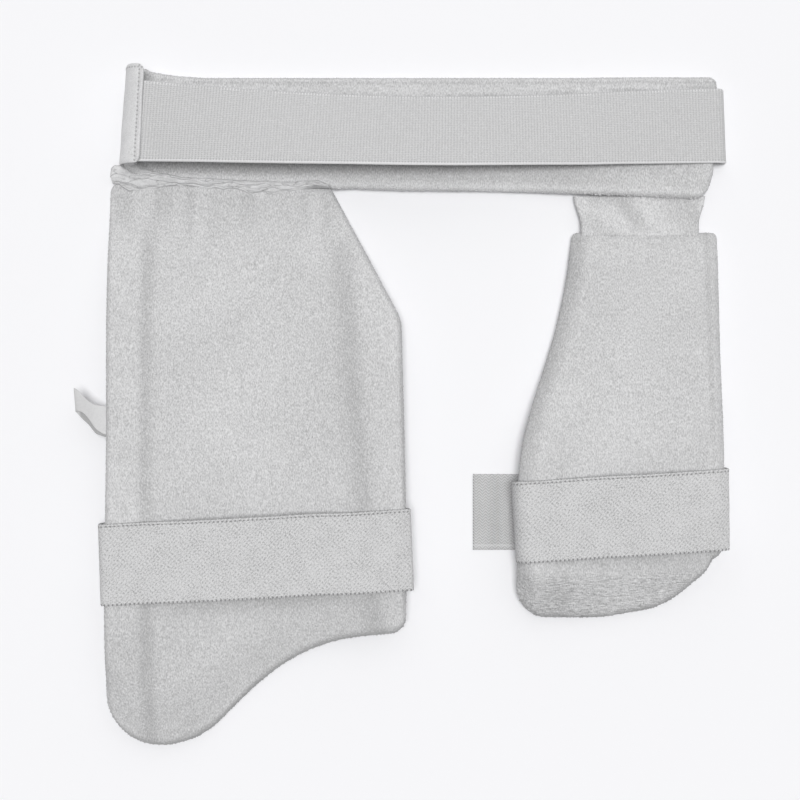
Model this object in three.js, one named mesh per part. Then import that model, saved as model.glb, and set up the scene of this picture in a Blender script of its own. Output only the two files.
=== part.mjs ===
// A combined cricket thigh guard: a padded waist belt that carries an outer and an inner thigh pad, with
// woven elastic straps. It lies flat on its outer side, as when it is put away, so the towelling side that
// meets the body is on top and the shallow trough of each pad is open upwards.
//
// Millimetres, +Z up, +Y towards the waist. While the pieces are laid out, x = 0 is the outer pad's left edge,
// y = 0 is the belt's top edge and z = 0 is the surface below; the group is centred over that surface last.
import * as THREE from "three";

// Clearances
const seamGap = 0.3; // between two pieces that are sewn edge to edge
const strapGap = 0.5; // between a strap and the padding that it goes round
const layerGap = 0.35; // between two straps, or a strap and its cover, that lie on each other

// Waist belt: a padded band, flat but for its left end, which curls up and over
const beltLeftHeight = 74.3;
const beltRightHeight = 89;
const beltThickness = 9;
const beltRim = 4;
const beltFlatLength = 408.6;
const beltRightUpperCorner = 2;
const beltRightLowerCorner = 13;
const curlInset = 32.3; // from the outer pad's left edge to where the belt leaves the surface
const curlRadius = 14;
const curlAngle = 132;
const curlSkew = 4.3; // how far the curled end is drawn up, past the belt's top edge
const curlLean = 6; // how much further right the curled end stands at its top than at its bottom

// Tab that covers the curled end, and the strap's sewn end below it
const tabThickness = 1.6;
const tabStartAngle = 62;
const tabEndAngle = 170;

// Waist strap
const waistStrapWidth = 57;
const waistStrapThickness = 1.6;
const waistStrapTopInset = 7.1; // below the belt's top edge
const waistStrapReturn = 75; // length behind the belt's right end
const waistStrapSlack = 4; // how far its fold stands off the belt's end
const returnRamp = 32; // stretch over which the belt climbs on to the folded strap

// Outer thigh pad
const outerWidth = 218;
const outerLength = 407;
const outerTopWidth = 159.5;
const outerThickness = 15.5;
const outerTopThickness = 9;
const outerLobeThickness = 8.5;
const outerSideRim = 4.5;
const outerEndRim = 6;
const outerTroughDepth = 12;
const outerLobeCorner = 35;
const outerLowerCorner = 11;
const outerLeftWing = 31.5; // from the left edge to the crease
const outerTopTaper = 45; // stretch over which the padding thickens, below the hem
const outerLobeTaper = 48; // stretch over which it thins towards its lower edge

// Inner thigh pad
const innerWidth = 149.5;
const innerLength = 279;
const innerThickness = 16.5;
const innerTopThickness = 11;
const innerToeThickness = 8;
const innerSideRim = 7.5;
const innerEndRim = 6.5;
const innerTroughDepth = 8.5;
const innerUpperCorner = 2;
const innerLowerCorner = 16;
const innerLeftWing = 34;
const innerTopTaper = 26;
const innerToeTaper = 34;
const innerOverhang = 0.5; // how far the pad reaches past the belt's right end

// Neck: the towelling flap between the belt and the inner pad
const neckTopWidth = 95;
const neckBottomWidth = 85;
const neckLength = 24.3;
const neckThickness = 4;
const neckRim = 1.8;
const neckInset = 14.5; // from the inner pad's right edge to the neck's

// Thigh straps
const thighStrapWidth = 58;
const thighStrapThickness = 1.6;
const outerStrapDrop = 269; // from the pad's top left corner to the strap's middle
const outerStrapSlope = 0.049; // rise towards the right, for each millimetre across
const outerStrapSlack = 3; // how far its right fold stands off the pad
const innerStrapDrop = 203;
const innerStrapSlope = 0.064;
const climbMargin = 9; // how far past a strap's edges the pad above it stays raised

// Loose end of the inner strap, which lies under the loop and shows past its left side
const tailWidth = 55;
const tailThickness = 1.4;
const tailShown = 27;
const tailHidden = 132;
const tailRise = 1; // how far its middle lies above the strap's middle

// Hem: the gathered binding over the seam between the belt and the outer pad
const hemWidth = 14;
const hemHeight = 5.5;

// Side label: a bare satin loop in the outer pad's left seam
const labelWidth = 18;
const labelReach = 21;
const labelThickness = 0.5;
const labelOpening = 1.8; // between its two layers
const labelRise = 15; // towards the waist, over its reach
const labelDrop = 174; // from the pad's top left corner to the label's middle

// Outer pad's lower edge: share of its width from the left, and share of its length from the top
const outerLowerEdge = [
  { across: 0, down: 0.996 },
  { across: 0.18, down: 1 },
  { across: 0.25, down: 0.994 },
  { across: 0.33, down: 0.972 },
  { across: 0.41, down: 0.933 },
  { across: 0.5, down: 0.885 },
  { across: 0.6, down: 0.844 },
  { across: 0.7, down: 0.82 },
  { across: 0.8, down: 0.808 },
  { across: 1, down: 0.794 },
];
// Outer pad's right side: where its slanted shoulder ends, as a share of its length, how wide the pad is there
// and how much the corner is rounded, as shares of its width
const shoulderEnd = 0.246;
const shoulderWidth = 0.976;
const shoulderSoftness = 0.014;
// Outer pad's right crease, as a share of its width at its top and at its bottom, and the depth of the trough
// between the creases, as a share of the full depth
const rightCreaseTop = 0.749;
const rightCreaseBottom = 0.917;
const creaseSoftness = 0.17;
const outerTrough = [
  { down: 0.03, depth: 0 },
  { down: 0.28, depth: 1 },
  { down: 0.76, depth: 1 },
  { down: 1, depth: 0.25 },
];

// Inner pad's left edge: share of its length from the top, and share of its width from the left
const innerLeftEdge = [
  { down: 0, across: 0.286 },
  { down: 0.12, across: 0.255 },
  { down: 0.25, across: 0.204 },
  { down: 0.36, across: 0.142 },
  { down: 0.46, across: 0.074 },
  { down: 0.56, across: 0.02 },
  { down: 0.66, across: 0 },
  { down: 1, across: 0 },
];
// Inner pad's lower edge, which sweeps up to the right
const innerLowerEdge = [
  { across: 0, down: 1 },
  { across: 0.38, down: 1 },
  { across: 0.55, down: 0.988 },
  { across: 0.68, down: 0.972 },
  { across: 0.79, down: 0.94 },
  { across: 0.9, down: 0.888 },
  { across: 0.97, down: 0.845 },
  { across: 1, down: 0.8 },
];

// Depth of the inner pad's trough, which is open only where its strap crosses it
const innerTrough = [
  { down: 0.3, depth: 0 },
  { down: 0.58, depth: 1 },
  { down: 0.84, depth: 1 },
  { down: 1, depth: 0.2 },
];

// Waist strap's front run, from the tab to the belt's right end. The lifts are shares of the height of its
// sewn end above the belt, and the insets are shares of its width, from its sewn end's two edges inwards.
const waistStrapRun = [
  { along: 0, topInset: 0, bottomInset: 0, topLift: 1, bottomLift: 1 },
  { along: 0.12, topInset: 0.055, bottomInset: -0.012, topLift: 0.74, bottomLift: 1.03 },
  { along: 0.3, topInset: 0.105, bottomInset: -0.028, topLift: 0.33, bottomLift: 1 },
  { along: 0.5, topInset: 0.123, bottomInset: -0.036, topLift: 0.06, bottomLift: 0.86 },
  { along: 0.7, topInset: 0.09, bottomInset: -0.012, topLift: 0, bottomLift: 0.53 },
  { along: 0.88, topInset: 0.045, bottomInset: 0.02, topLift: 0, bottomLift: 0.17 },
  { along: 1, topInset: 0.02, bottomInset: 0.042, topLift: 0, bottomLift: 0 },
];

// Hem, from the nub where its left end turns up, along the seam to the dart at its right end. Its place is a
// share of the pad's top width from the left, and a share of the hem's width above the seam.
const hemSections = [
  { across: 0.036, above: 0.78, width: 0.4, height: 0.5 },
  { across: 0.034, above: 0.5, width: 0.62, height: 0.85 },
  { across: 0.036, above: 0.1, width: 0.66, height: 1 },
  { across: 0.062, above: -0.38, width: 0.74, height: 1 },
  { across: 0.13, above: -0.44, width: 0.76, height: 1 },
  { across: 0.24, above: -0.14, width: 0.8, height: 0.88 },
  { across: 0.42, above: -0.18, width: 0.63, height: 0.74 },
  { across: 0.6, above: -0.2, width: 0.56, height: 0.66 },
  { across: 0.78, above: -0.2, width: 0.5, height: 0.58 },
  { across: 0.93, above: -0.22, width: 0.46, height: 0.58 },
  { across: 1, above: -0.3, width: 0.46, height: 0.6 },
  { across: 1.055, above: -0.56, width: 0.18, height: 0.3 },
];
const hemGathers = 17; // puckers along its length
const hemGatherDepth = 0.08; // share of its width and height
const hemUnderside = 0.3; // share of its height that lies below its widest line

const towelling = new THREE.MeshStandardMaterial({ color: 0xd2d2d3, roughness: 0.97, metalness: 0 });
const ribbedElastic = new THREE.MeshStandardMaterial({ color: 0xcacacb, roughness: 0.85, metalness: 0 });
const brushedElastic = new THREE.MeshStandardMaterial({ color: 0xcdcdce, roughness: 0.93, metalness: 0 });
const herringboneElastic = new THREE.MeshStandardMaterial({ color: 0xb4b4b6, roughness: 0.85, metalness: 0 });
const smoothFacing = new THREE.MeshStandardMaterial({ color: 0xd0d0d1, roughness: 0.7, metalness: 0 });
const satin = new THREE.MeshStandardMaterial({ color: 0xdcdcdc, roughness: 0.45, metalness: 0 });

const radians = (degrees) => (degrees * Math.PI) / 180;
const clampShare = (value) => Math.min(1, Math.max(0, value));
const mix = (from, to, share) => from + (to - from) * share;
const smoothShare = (value) => clampShare(value) ** 2 * (3 - 2 * clampShare(value));
const countFrom = (first, last) => Array.from({ length: last - first + 1 }, (_, i) => first + i);

// Shares from 0 to 1 in equal steps, or drawn closer together towards both ends.
const evenShares = (steps) => countFrom(0, steps).map((i) => i / steps);
const endShares = (steps) => evenShares(steps).map((t) => mix(t, (1 - Math.cos(Math.PI * t)) / 2, 0.85));

// The lesser of two values, with the corner between them rounded over the given softness.
function softLeast(a, b, softness) {
  const h = clampShare(0.5 + (b - a) / (2 * softness));
  return mix(b, a, h) - softness * h * (1 - h);
}

// Reads one column of a table at any place along another, as a smooth curve that never overshoots its rows.
function curveOf(rows, at, column) {
  const steps = rows.slice(1).map((row, i) => (row[column] - rows[i][column]) / (row[at] - rows[i][at]));
  const slopeAt = (i) => {
    if (i === 0 || i === steps.length) return steps[Math.min(i, steps.length - 1)];
    const [before, after] = [steps[i - 1], steps[i]];
    return before * after <= 0 ? 0 : (2 * before * after) / (before + after);
  };
  return (place) => {
    const i = Math.max(0, rows.findLastIndex((row, k) => k < steps.length && row[at] <= place));
    const span = rows[i + 1][at] - rows[i][at];
    const t = clampShare((place - rows[i][at]) / span);
    const [start, end] = [rows[i][column], rows[i + 1][column]];
    return (
      start * (1 + 2 * t) * (1 - t) ** 2 +
      end * t ** 2 * (3 - 2 * t) +
      span * (slopeAt(i) * t * (1 - t) ** 2 - slopeAt(i + 1) * t ** 2 * (1 - t))
    );
  };
}

// How far a corner of the given radius lies inside a straight edge, at a distance from the side it turns into.
function cornerInset(distance, radius) {
  const inside = Math.min(radius, Math.max(0, radius - distance));
  return radius - Math.sqrt(radius ** 2 - inside ** 2);
}

function meshOf(name, vertices, faces, material) {
  const geometry = new THREE.BufferGeometry();
  geometry.setAttribute("position", new THREE.Float32BufferAttribute(vertices.flat(), 3));
  geometry.setIndex(faces.flat());
  geometry.computeVertexNormals();
  const mesh = new THREE.Mesh(geometry, material);
  mesh.name = name;
  return mesh;
}

// Two triangles for a four-sided face whose corners are given anticlockwise, as seen from outside.
const quad = (a, b, c, d) => [a, b, c, a, c, d];

// A padded slab over a flat pattern: one grid of points for its upper face and one for its lower face, joined
// by a rounded rim. The pattern has a left and a right edge by height and a top and a bottom edge by share
// across. The rim is half an ellipse, and place() carries a point of the pattern, at a height above the
// slab's middle, to its place in space.
function paddedSlab({ name, material, pattern, rims, thickness, place, columns, rows, rimSteps }) {
  const patternPoint = (s, v) => {
    const top = pattern.top(s) - rims.end;
    const y = mix(top, pattern.bottom(s) + rims.end, v);
    return { x: mix(pattern.left(y) + rims.side, pattern.right(y) - rims.side, s), y };
  };
  const grid = columns.map((s) => rows.map((v) => patternPoint(s, v)));
  const [lastColumn, lastRow] = [columns.length - 1, rows.length - 1];
  const vertices = [];
  const faces = [];
  const addPoint = ({ x, y }, height) => vertices.push(place(x, y, height)) - 1;
  const upper = grid.map((column) => column.map((p) => addPoint(p, thickness(p.x, p.y) / 2)));
  const lower = grid.map((column) => column.map((p) => addPoint(p, -thickness(p.x, p.y) / 2)));
  for (const i of countFrom(0, lastColumn - 1)) {
    for (const j of countFrom(0, lastRow - 1)) {
      faces.push(quad(upper[i][j], upper[i][j + 1], upper[i + 1][j + 1], upper[i + 1][j]));
      faces.push(quad(lower[i][j], lower[i + 1][j], lower[i + 1][j + 1], lower[i][j + 1]));
    }
  }
  // The border runs anticlockwise, seen from above: down the left side, along the bottom, and back.
  const border = [
    ...countFrom(0, lastRow).map((j) => [0, j]),
    ...countFrom(1, lastColumn).map((i) => [i, lastRow]),
    ...countFrom(1, lastRow).map((k) => [lastColumn, lastRow - k]),
    ...countFrom(1, lastColumn - 1).map((k) => [lastColumn - k, 0]),
  ];
  const at = (k) => {
    const [i, j] = border[(k + border.length) % border.length];
    return grid[i][j];
  };
  const rings = border.map(([i, j], k) => {
    const [before, here, after] = [at(k - 1), at(k), at(k + 1)];
    const along = [unit(here.x - before.x, here.y - before.y), unit(after.x - here.x, after.y - here.y)];
    const outward = unit(along[0].y + along[1].y, -along[0].x - along[1].x);
    const half = thickness(here.x, here.y) / 2;
    const turn = countFrom(1, rimSteps - 1).map((step) => {
      const angle = (Math.PI * step) / rimSteps;
      const reach = Math.sin(angle);
      const point = {
        x: here.x + outward.x * rims.side * reach,
        y: here.y + outward.y * rims.end * reach,
      };
      return addPoint(point, half * Math.cos(angle));
    });
    return [upper[i][j], ...turn, lower[i][j]];
  });
  rings.forEach((ring, k) => {
    const next = rings[(k + 1) % rings.length];
    for (const step of countFrom(0, rimSteps - 1)) {
      faces.push(quad(ring[step], ring[step + 1], next[step + 1], next[step]));
    }
  });
  return meshOf(name, vertices, faces, material);
}

const unit = (x, y) => ({ x: x / Math.hypot(x, y), y: y / Math.hypot(x, y) });

// A tube of any section: every section has the same number of points, listed anticlockwise when seen along
// the way it goes. It closes on itself, or its two ends are closed by fans of triangles.
function loft(name, sections, material, closed) {
  const count = sections[0].length;
  const vertices = sections.flat();
  const faces = [];
  const joints = closed ? sections.length : sections.length - 1;
  for (const k of countFrom(0, joints - 1)) {
    const [near, far] = [k * count, ((k + 1) % sections.length) * count];
    for (const i of countFrom(0, count - 1)) {
      const next = (i + 1) % count;
      faces.push(quad(near + i, far + i, far + next, near + next));
    }
  }
  if (!closed) {
    const last = (sections.length - 1) * count;
    for (const i of countFrom(1, count - 2)) {
      faces.push([0, i, i + 1]);
      faces.push([last, last + i + 1, last + i]);
    }
  }
  return meshOf(name, vertices, faces, material);
}

// A flat band along a path of stations. Each station gives the middle of the band's two edges, and the band's
// thickness stands square to both its edge-to-edge line and its run.
function band(name, stations, thickness, material, closed = false) {
  const sections = stations.map(({ top, bottom }, k) => {
    const last = stations.length - 1;
    const before = stations[k === 0 ? (closed ? last : 0) : k - 1];
    const after = stations[k === last ? (closed ? 0 : last) : k + 1];
    const run = after.top.clone().sub(before.top).add(after.bottom).sub(before.bottom).normalize();
    const across = bottom.clone().sub(top).normalize();
    const out = new THREE.Vector3().crossVectors(run, across).normalize();
    const lift = out.multiplyScalar(thickness / 2);
    return [
      top.clone().sub(lift),
      top.clone().add(lift),
      bottom.clone().add(lift),
      bottom.clone().sub(lift),
    ].map((point) => point.toArray());
  });
  return loft(name, sections, material, closed);
}

// The convex outline, anticlockwise, round a cloud of points { x, z }.
function hullOf(points) {
  const sorted = [...points].sort((a, b) => a.x - b.x || a.z - b.z);
  const turn = (a, b, c) => (b.x - a.x) * (c.z - a.z) - (b.z - a.z) * (c.x - a.x);
  const chain = (list) => {
    const kept = [];
    for (const point of list) {
      while (kept.length > 1 && turn(kept.at(-2), kept.at(-1), point) <= 0) kept.pop();
      kept.push(point);
    }
    return kept.slice(0, -1);
  };
  return [...chain(sorted), ...chain(sorted.reverse())];
}

// Belt
const curlTurn = radians(curlAngle);
const beltRight = curlInset + beltFlatLength;
const beltLeft = curlInset - curlRadius * curlTurn - beltRim;
const beltBottom = (x) => -mix(beltLeftHeight, beltRightHeight, Math.max(0, x - curlInset) / beltFlatLength);
const foldLift = waistStrapThickness + strapGap;
const returnEnd = beltRight + waistStrapSlack - waistStrapReturn;
const beltLift = (x) => foldLift * smoothShare((x - returnEnd + returnRamp + strapGap) / returnRamp);
const curlCentre = { x: curlInset, z: beltThickness / 2 + curlRadius };

// A point on the curl, by its angle from straight down and its distance from the curl's centre.
const curlPoint = (angle, radius) => ({
  x: curlCentre.x - radius * Math.sin(angle),
  z: curlCentre.z - radius * Math.cos(angle),
});
const skewAt = (angle) => curlSkew * smoothShare(angle / curlTurn);
const leanAt = (angle, y) => curlLean * smoothShare(angle / curlTurn) * (y / beltLeftHeight + 0.5);

function placeOnBelt(x, y, height) {
  if (x >= curlInset) return [x, y, beltThickness / 2 + beltLift(x) + height];
  const angle = (curlInset - x) / curlRadius;
  const point = curlPoint(angle, curlRadius - height);
  return [point.x + leanAt(angle, y), y + skewAt(angle), point.z];
}

function makeBelt() {
  const span = beltRight - beltLeft;
  const flatStart = (curlInset - beltLeft) / span;
  const columns = [
    ...evenShares(11).map((t) => t * flatStart),
    ...endShares(18).slice(1).map((t) => mix(flatStart, 1, t)),
  ];
  const xOf = (s) => mix(beltLeft, beltRight, s);
  return paddedSlab({
    name: "waist_belt",
    material: towelling,
    pattern: {
      left: () => beltLeft,
      right: () => beltRight,
      top: (s) => -cornerInset(beltRight - xOf(s), beltRightUpperCorner),
      bottom: (s) => beltBottom(xOf(s)) + cornerInset(beltRight - xOf(s), beltRightLowerCorner),
    },
    rims: { side: beltRim, end: beltRim },
    thickness: () => beltThickness,
    place: placeOnBelt,
    columns,
    rows: endShares(5),
    rimSteps: 4,
  });
}

// Height of a pad above the surface: it climbs over the straps that pass below it and sags back past them.
const strapClimb = (y, middle, height) =>
  height * (1 - smoothShare((Math.abs(y - middle) - thighStrapWidth / 2 - climbMargin) / thighStrapWidth));

// Outer pad
const outerTop = (x) => beltBottom(x) - seamGap;
const outerCorner = outerTop(0);
const outerDown = (y) => (outerCorner - y) / outerLength;
const shoulderLine = (down) => mix(outerTopWidth, shoulderWidth * outerWidth, down / shoulderEnd);
const flankLine = (down) => mix(shoulderWidth, 1, (down - shoulderEnd) / (1 - 2 * shoulderEnd)) * outerWidth;
const outerRight = (y) => {
  const down = outerDown(y);
  return softLeast(shoulderLine(down), flankLine(down), shoulderSoftness * outerWidth);
};
const outerLower = curveOf(outerLowerEdge, "across", "down");
const outerDepth = curveOf(outerTrough, "down", "depth");
const outerBottom = (s) =>
  outerCorner -
  outerLower(s) * outerLength +
  cornerInset(s * outerWidth, outerLobeCorner) +
  cornerInset((1 - s) * outerWidth, outerLowerCorner);
const outerStrapY = outerCorner - outerStrapDrop;

const outer = {
  left: () => 0,
  right: outerRight,
  rim: outerSideRim,
  // Share of the trough's depth at a point: nothing along the middle, all of it past the two creases.
  under(x, y) {
    const down = outerDown(y);
    const rightCrease = mix(rightCreaseTop, rightCreaseBottom, down) * outerWidth;
    const middle = (outerLeftWing + rightCrease) / 2;
    const half = (rightCrease - outerLeftWing) / 2;
    const share = softLeast(((x - middle) / half) ** 2, 1, creaseSoftness);
    const climb = strapClimb(y, outerStrapY, thighStrapThickness + strapGap);
    return share * outerTroughDepth * outerDepth(down) + climb;
  },
  thickness(x, y) {
    const fromTop = outerTop(x) - y;
    const fromBottom = y - outerBottom(clampShare(x / outerRight(y)));
    const upper = mix(outerTopThickness, outerThickness, smoothShare((fromTop - hemWidth) / outerTopTaper));
    return mix(outerLobeThickness, upper, smoothShare(fromBottom / outerLobeTaper));
  },
};

// Inner pad
const innerRight = beltRight + innerOverhang;
const innerCorner = beltBottom(innerRight - innerWidth / 2) - 2 * seamGap - neckLength;
const innerDown = (y) => (innerCorner - y) / innerLength;
const innerLeftShare = curveOf(innerLeftEdge, "down", "across");
const innerLower = curveOf(innerLowerEdge, "across", "down");
const innerDepth = curveOf(innerTrough, "down", "depth");
const innerLeft = (y) => innerRight - innerWidth * (1 - innerLeftShare(clampShare(innerDown(y))));
const innerBottom = (s) =>
  innerCorner - innerLower(s) * innerLength + cornerInset(s * innerWidth, innerLowerCorner);
const innerStrapY = innerCorner - innerStrapDrop;
const innerClimb = tailThickness + layerGap + thighStrapThickness + strapGap;

const inner = {
  left: innerLeft,
  right: () => innerRight,
  rim: innerSideRim,
  under(x, y) {
    const leftCrease = innerRight - innerWidth + innerLeftWing;
    const rightCrease = innerRight - innerSideRim;
    const middle = (leftCrease + rightCrease) / 2;
    const share = softLeast(((x - middle) / (rightCrease - middle)) ** 2, 1, creaseSoftness);
    return share * innerTroughDepth * innerDepth(innerDown(y)) + strapClimb(y, innerStrapY, innerClimb);
  },
  thickness(x, y) {
    const across = clampShare((x - innerLeft(y)) / (innerRight - innerLeft(y)));
    const upper = mix(innerTopThickness, innerThickness, smoothShare((innerCorner - y) / innerTopTaper));
    return mix(innerToeThickness, upper, smoothShare((y - innerBottom(across)) / innerToeTaper));
  },
};

const padPlace = (pad) => (x, y, height) => [x, y, pad.under(x, y) + pad.thickness(x, y) / 2 + height];
const padTop = (pad, x, y) => pad.under(x, y) + pad.thickness(x, y);

function makeOuterPad() {
  return paddedSlab({
    name: "outer_thigh_pad",
    material: towelling,
    pattern: {
      left: outer.left,
      right: outer.right,
      top: (s) => outerTop(s * outerTopWidth),
      bottom: outerBottom,
    },
    rims: { side: outerSideRim, end: outerEndRim },
    thickness: outer.thickness,
    place: padPlace(outer),
    columns: endShares(21),
    rows: endShares(24),
    rimSteps: 5,
  });
}

function makeInnerPad() {
  return paddedSlab({
    name: "inner_thigh_pad",
    material: towelling,
    pattern: {
      left: inner.left,
      right: inner.right,
      top: (s) =>
        innerCorner -
        cornerInset(s * innerWidth, innerUpperCorner) -
        cornerInset((1 - s) * innerWidth, innerUpperCorner),
      bottom: innerBottom,
    },
    rims: { side: innerSideRim, end: innerEndRim },
    thickness: inner.thickness,
    place: padPlace(inner),
    columns: endShares(16),
    rows: endShares(20),
    rimSteps: 5,
  });
}

// A thigh strap goes right round its pad as a tight loop: the convex outline of the pad's cross-sections along
// the strap's width and a little past it, because the strap slopes, grown by the clearance and half the strap.
function makeThighStrap(name, pad, { middleY, slope, slack }) {
  const reach = strapGap + thighStrapThickness / 2;
  const cloud = [];
  for (const shift of evenShares(6).map((t) => mix(-0.6, 0.6, t) * thighStrapWidth)) {
    const y = middleY + shift;
    const [left, right] = [pad.left(y), pad.right(y)];
    for (const t of endShares(24)) {
      const x = mix(left + pad.rim, right - pad.rim, t);
      cloud.push({ x, z: pad.under(x, y) }, { x, z: padTop(pad, x, y) });
    }
    for (const turn of evenShares(10).map((t) => Math.PI * t)) {
      for (const [edge, inwards] of [[left, 1], [right, -1]]) {
        const x = edge + inwards * pad.rim * (1 - Math.sin(turn));
        const half = pad.thickness(edge + inwards * pad.rim, y) / 2;
        cloud.push({ x, z: (pad.under(x, y) + padTop(pad, x, y)) / 2 + half * Math.cos(turn) });
      }
    }
    cloud.push({ x: right + slack, z: padTop(pad, right, y) - pad.rim / 2 });
  }
  const grown = cloud.flatMap((point) =>
    evenShares(16)
      .slice(1)
      .map((t) => ({
        x: point.x + reach * Math.cos(2 * Math.PI * t),
        z: point.z + reach * Math.sin(2 * Math.PI * t),
      })),
  );
  const path = hullOf(grown).filter((point, i, all) => {
    const before = all[(i + all.length - 1) % all.length];
    return Math.hypot(point.x - before.x, point.z - before.z) > 0.6;
  });
  const centre = (pad.left(middleY) + pad.right(middleY)) / 2;
  const stations = path.map(({ x, z }) => {
    const y = middleY + slope * (x - centre);
    return {
      top: new THREE.Vector3(x, y + thighStrapWidth / 2, z),
      bottom: new THREE.Vector3(x, y - thighStrapWidth / 2, z),
    };
  });
  return band(name, stations, thighStrapThickness, brushedElastic, true);
}

function makeStrapTail() {
  const start = innerLeft(innerStrapY) - tailShown;
  const stations = evenShares(4).map((t) => {
    const x = start + t * (tailShown + tailHidden);
    const y = innerStrapY + tailRise;
    return {
      top: new THREE.Vector3(x, y + tailWidth / 2, tailThickness / 2),
      bottom: new THREE.Vector3(x, y - tailWidth / 2, tailThickness / 2),
    };
  });
  return band("inner_strap_tail", stations, tailThickness, herringboneElastic);
}

// Tab and waist strap
const tabRadius = curlRadius + beltThickness / 2 + layerGap + tabThickness / 2;
const strapEndRadius = tabRadius - tabThickness / 2 - layerGap - waistStrapThickness / 2;

// A point on the curled end's outer side, by its angle, its distance from the curl's centre and its height
// along the belt's width.
function outsideCurl(angle, radius, y) {
  const { x, z } = curlPoint(angle, radius);
  return new THREE.Vector3(x + leanAt(angle, y), y + skewAt(angle), z);
}

function makeTab() {
  const stations = evenShares(12).map((t) => {
    const angle = radians(mix(tabStartAngle, tabEndAngle, t));
    return { top: outsideCurl(angle, tabRadius, 0), bottom: outsideCurl(angle, tabRadius, -beltLeftHeight) };
  });
  return band("belt_end_tab", stations, tabThickness, smoothFacing);
}

function makeWaistStrap() {
  const topY = -waistStrapTopInset;
  const bottomY = topY - waistStrapWidth;
  const restHeight = (x) => beltThickness + beltLift(x) + strapGap + waistStrapThickness / 2;
  const column = (name) => curveOf(waistStrapRun, "along", name);
  const [topInset, bottomInset] = [column("topInset"), column("bottomInset")];
  const [topLift, bottomLift] = [column("topLift"), column("bottomLift")];
  // Sewn end, bent with the tab that covers it
  const sewnStart = curlTurn + (beltRim + 2 * seamGap) / curlRadius;
  const sewnEnd = radians(tabEndAngle);
  const sewn = evenShares(4).map((t) => {
    const edge = (y) => outsideCurl(mix(sewnStart, sewnEnd, t), strapEndRadius, y - curlSkew);
    return { top: edge(topY), bottom: edge(bottomY) };
  });
  // Front run, with a twist that lays its top edge on the belt and holds its bottom edge up
  const { top: startTop, bottom: startBottom } = sewn.at(-1);
  const foldRadius = (restHeight(beltRight) - waistStrapThickness / 2) / 2;
  const foldX = beltRight + waistStrapSlack - foldRadius;
  const rise = startTop.z - restHeight(startTop.x);
  const front = evenShares(30).slice(1).map((t) => {
    const edge = (from, y, lift) => {
      const x = mix(from.x, foldX, t);
      return new THREE.Vector3(x, y, restHeight(x) + rise * lift);
    };
    return {
      top: edge(startTop, topY - topInset(t) * waistStrapWidth, topLift(t)),
      bottom: edge(startBottom, bottomY + bottomInset(t) * waistStrapWidth, bottomLift(t)),
    };
  });
  // Fold round the belt's right end, and the return behind it
  const { top: lastTop, bottom: lastBottom } = front.at(-1);
  const behind = waistStrapThickness / 2;
  const fold = evenShares(10).slice(1).map((t) => ({
    x: foldX + foldRadius * Math.sin(Math.PI * t),
    z: behind + foldRadius * (1 + Math.cos(Math.PI * t)),
  }));
  const back = evenShares(3).slice(1).map((t) => ({ x: mix(foldX, returnEnd, t), z: behind }));
  const rest = [...fold, ...back].map(({ x, z }) => ({
    top: new THREE.Vector3(x, lastTop.y, z),
    bottom: new THREE.Vector3(x, lastBottom.y, z),
  }));
  return band("waist_strap", [...sewn, ...front, ...rest], waistStrapThickness, ribbedElastic);
}

function makeNeck() {
  const right = innerRight - neckInset;
  const left = right - neckBottomWidth;
  const upperY = beltBottom(right - neckBottomWidth / 2);
  const lowerY = innerCorner;
  const down = (y) => clampShare((upperY - y) / (upperY - lowerY));
  const spread = (y) => ((neckTopWidth - neckBottomWidth) / 2) * (1 - smoothShare(down(y) * 1.4));
  const beltMiddle = beltThickness / 2 + beltLift(right);
  const padMiddle = inner.under(right, lowerY) + inner.thickness(right, lowerY) / 2;
  return paddedSlab({
    name: "inner_pad_neck",
    material: towelling,
    pattern: {
      left: (y) => left - spread(y),
      right: (y) => right + spread(y),
      top: (s) => beltBottom(mix(left, right, s)) - seamGap,
      bottom: () => lowerY + seamGap,
    },
    rims: { side: neckRim, end: neckRim },
    thickness: () => neckThickness,
    place: (x, y, height) => [x, y, mix(beltMiddle, padMiddle, down(y)) + height],
    columns: endShares(8),
    rows: endShares(4),
    rimSteps: 4,
  });
}

// The hem is a gathered roll with a flat underside, which lies over the seam on the belt and the pad.
function makeHem() {
  const through = (first, second) =>
    new THREE.CatmullRomCurve3(hemSections.map((row) => new THREE.Vector3(row[first], row[second], 0)));
  const [path, size] = [through("across", "above"), through("width", "height")];
  const placeAt = (t) => {
    const { x: across, y: above } = path.getPoint(t);
    const x = across * outerTopWidth;
    return { x, y: outerTop(x) + above * hemWidth };
  };
  const step = 0.004;
  const sections = evenShares(64).map((t) => {
    const here = placeAt(t);
    const [before, after] = [placeAt(Math.max(0, t - step)), placeAt(Math.min(1, t + step))];
    const side = unit(before.y - after.y, after.x - before.x);
    const pucker = 2 * Math.PI * hemGathers * t;
    const wave = Math.sin(pucker + 2 * Math.sin(9 * t)) + Math.sin(0.37 * pucker);
    const gather = 1 + hemGatherDepth * wave;
    const { x: width, y: height } = size.getPoint(t);
    const half = (width * hemWidth * gather) / 2;
    const tall = height * hemHeight * (2 - gather);
    const padHeight = padTop(outer, here.x, here.y - half);
    const seat = Math.max(padHeight, beltThickness) + seamGap;
    return countFrom(0, 9).map((i) => {
      const angle = (-2 * Math.PI * i) / 10;
      const rise = Math.sin(angle);
      const z = seat + tall * (hemUnderside + (rise > 0 ? 1 - hemUnderside : hemUnderside) * rise);
      return [here.x + side.x * half * Math.cos(angle), here.y + side.y * half * Math.cos(angle), z];
    });
  });
  return loft("pad_top_hem", sections, towelling, false);
}

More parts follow.
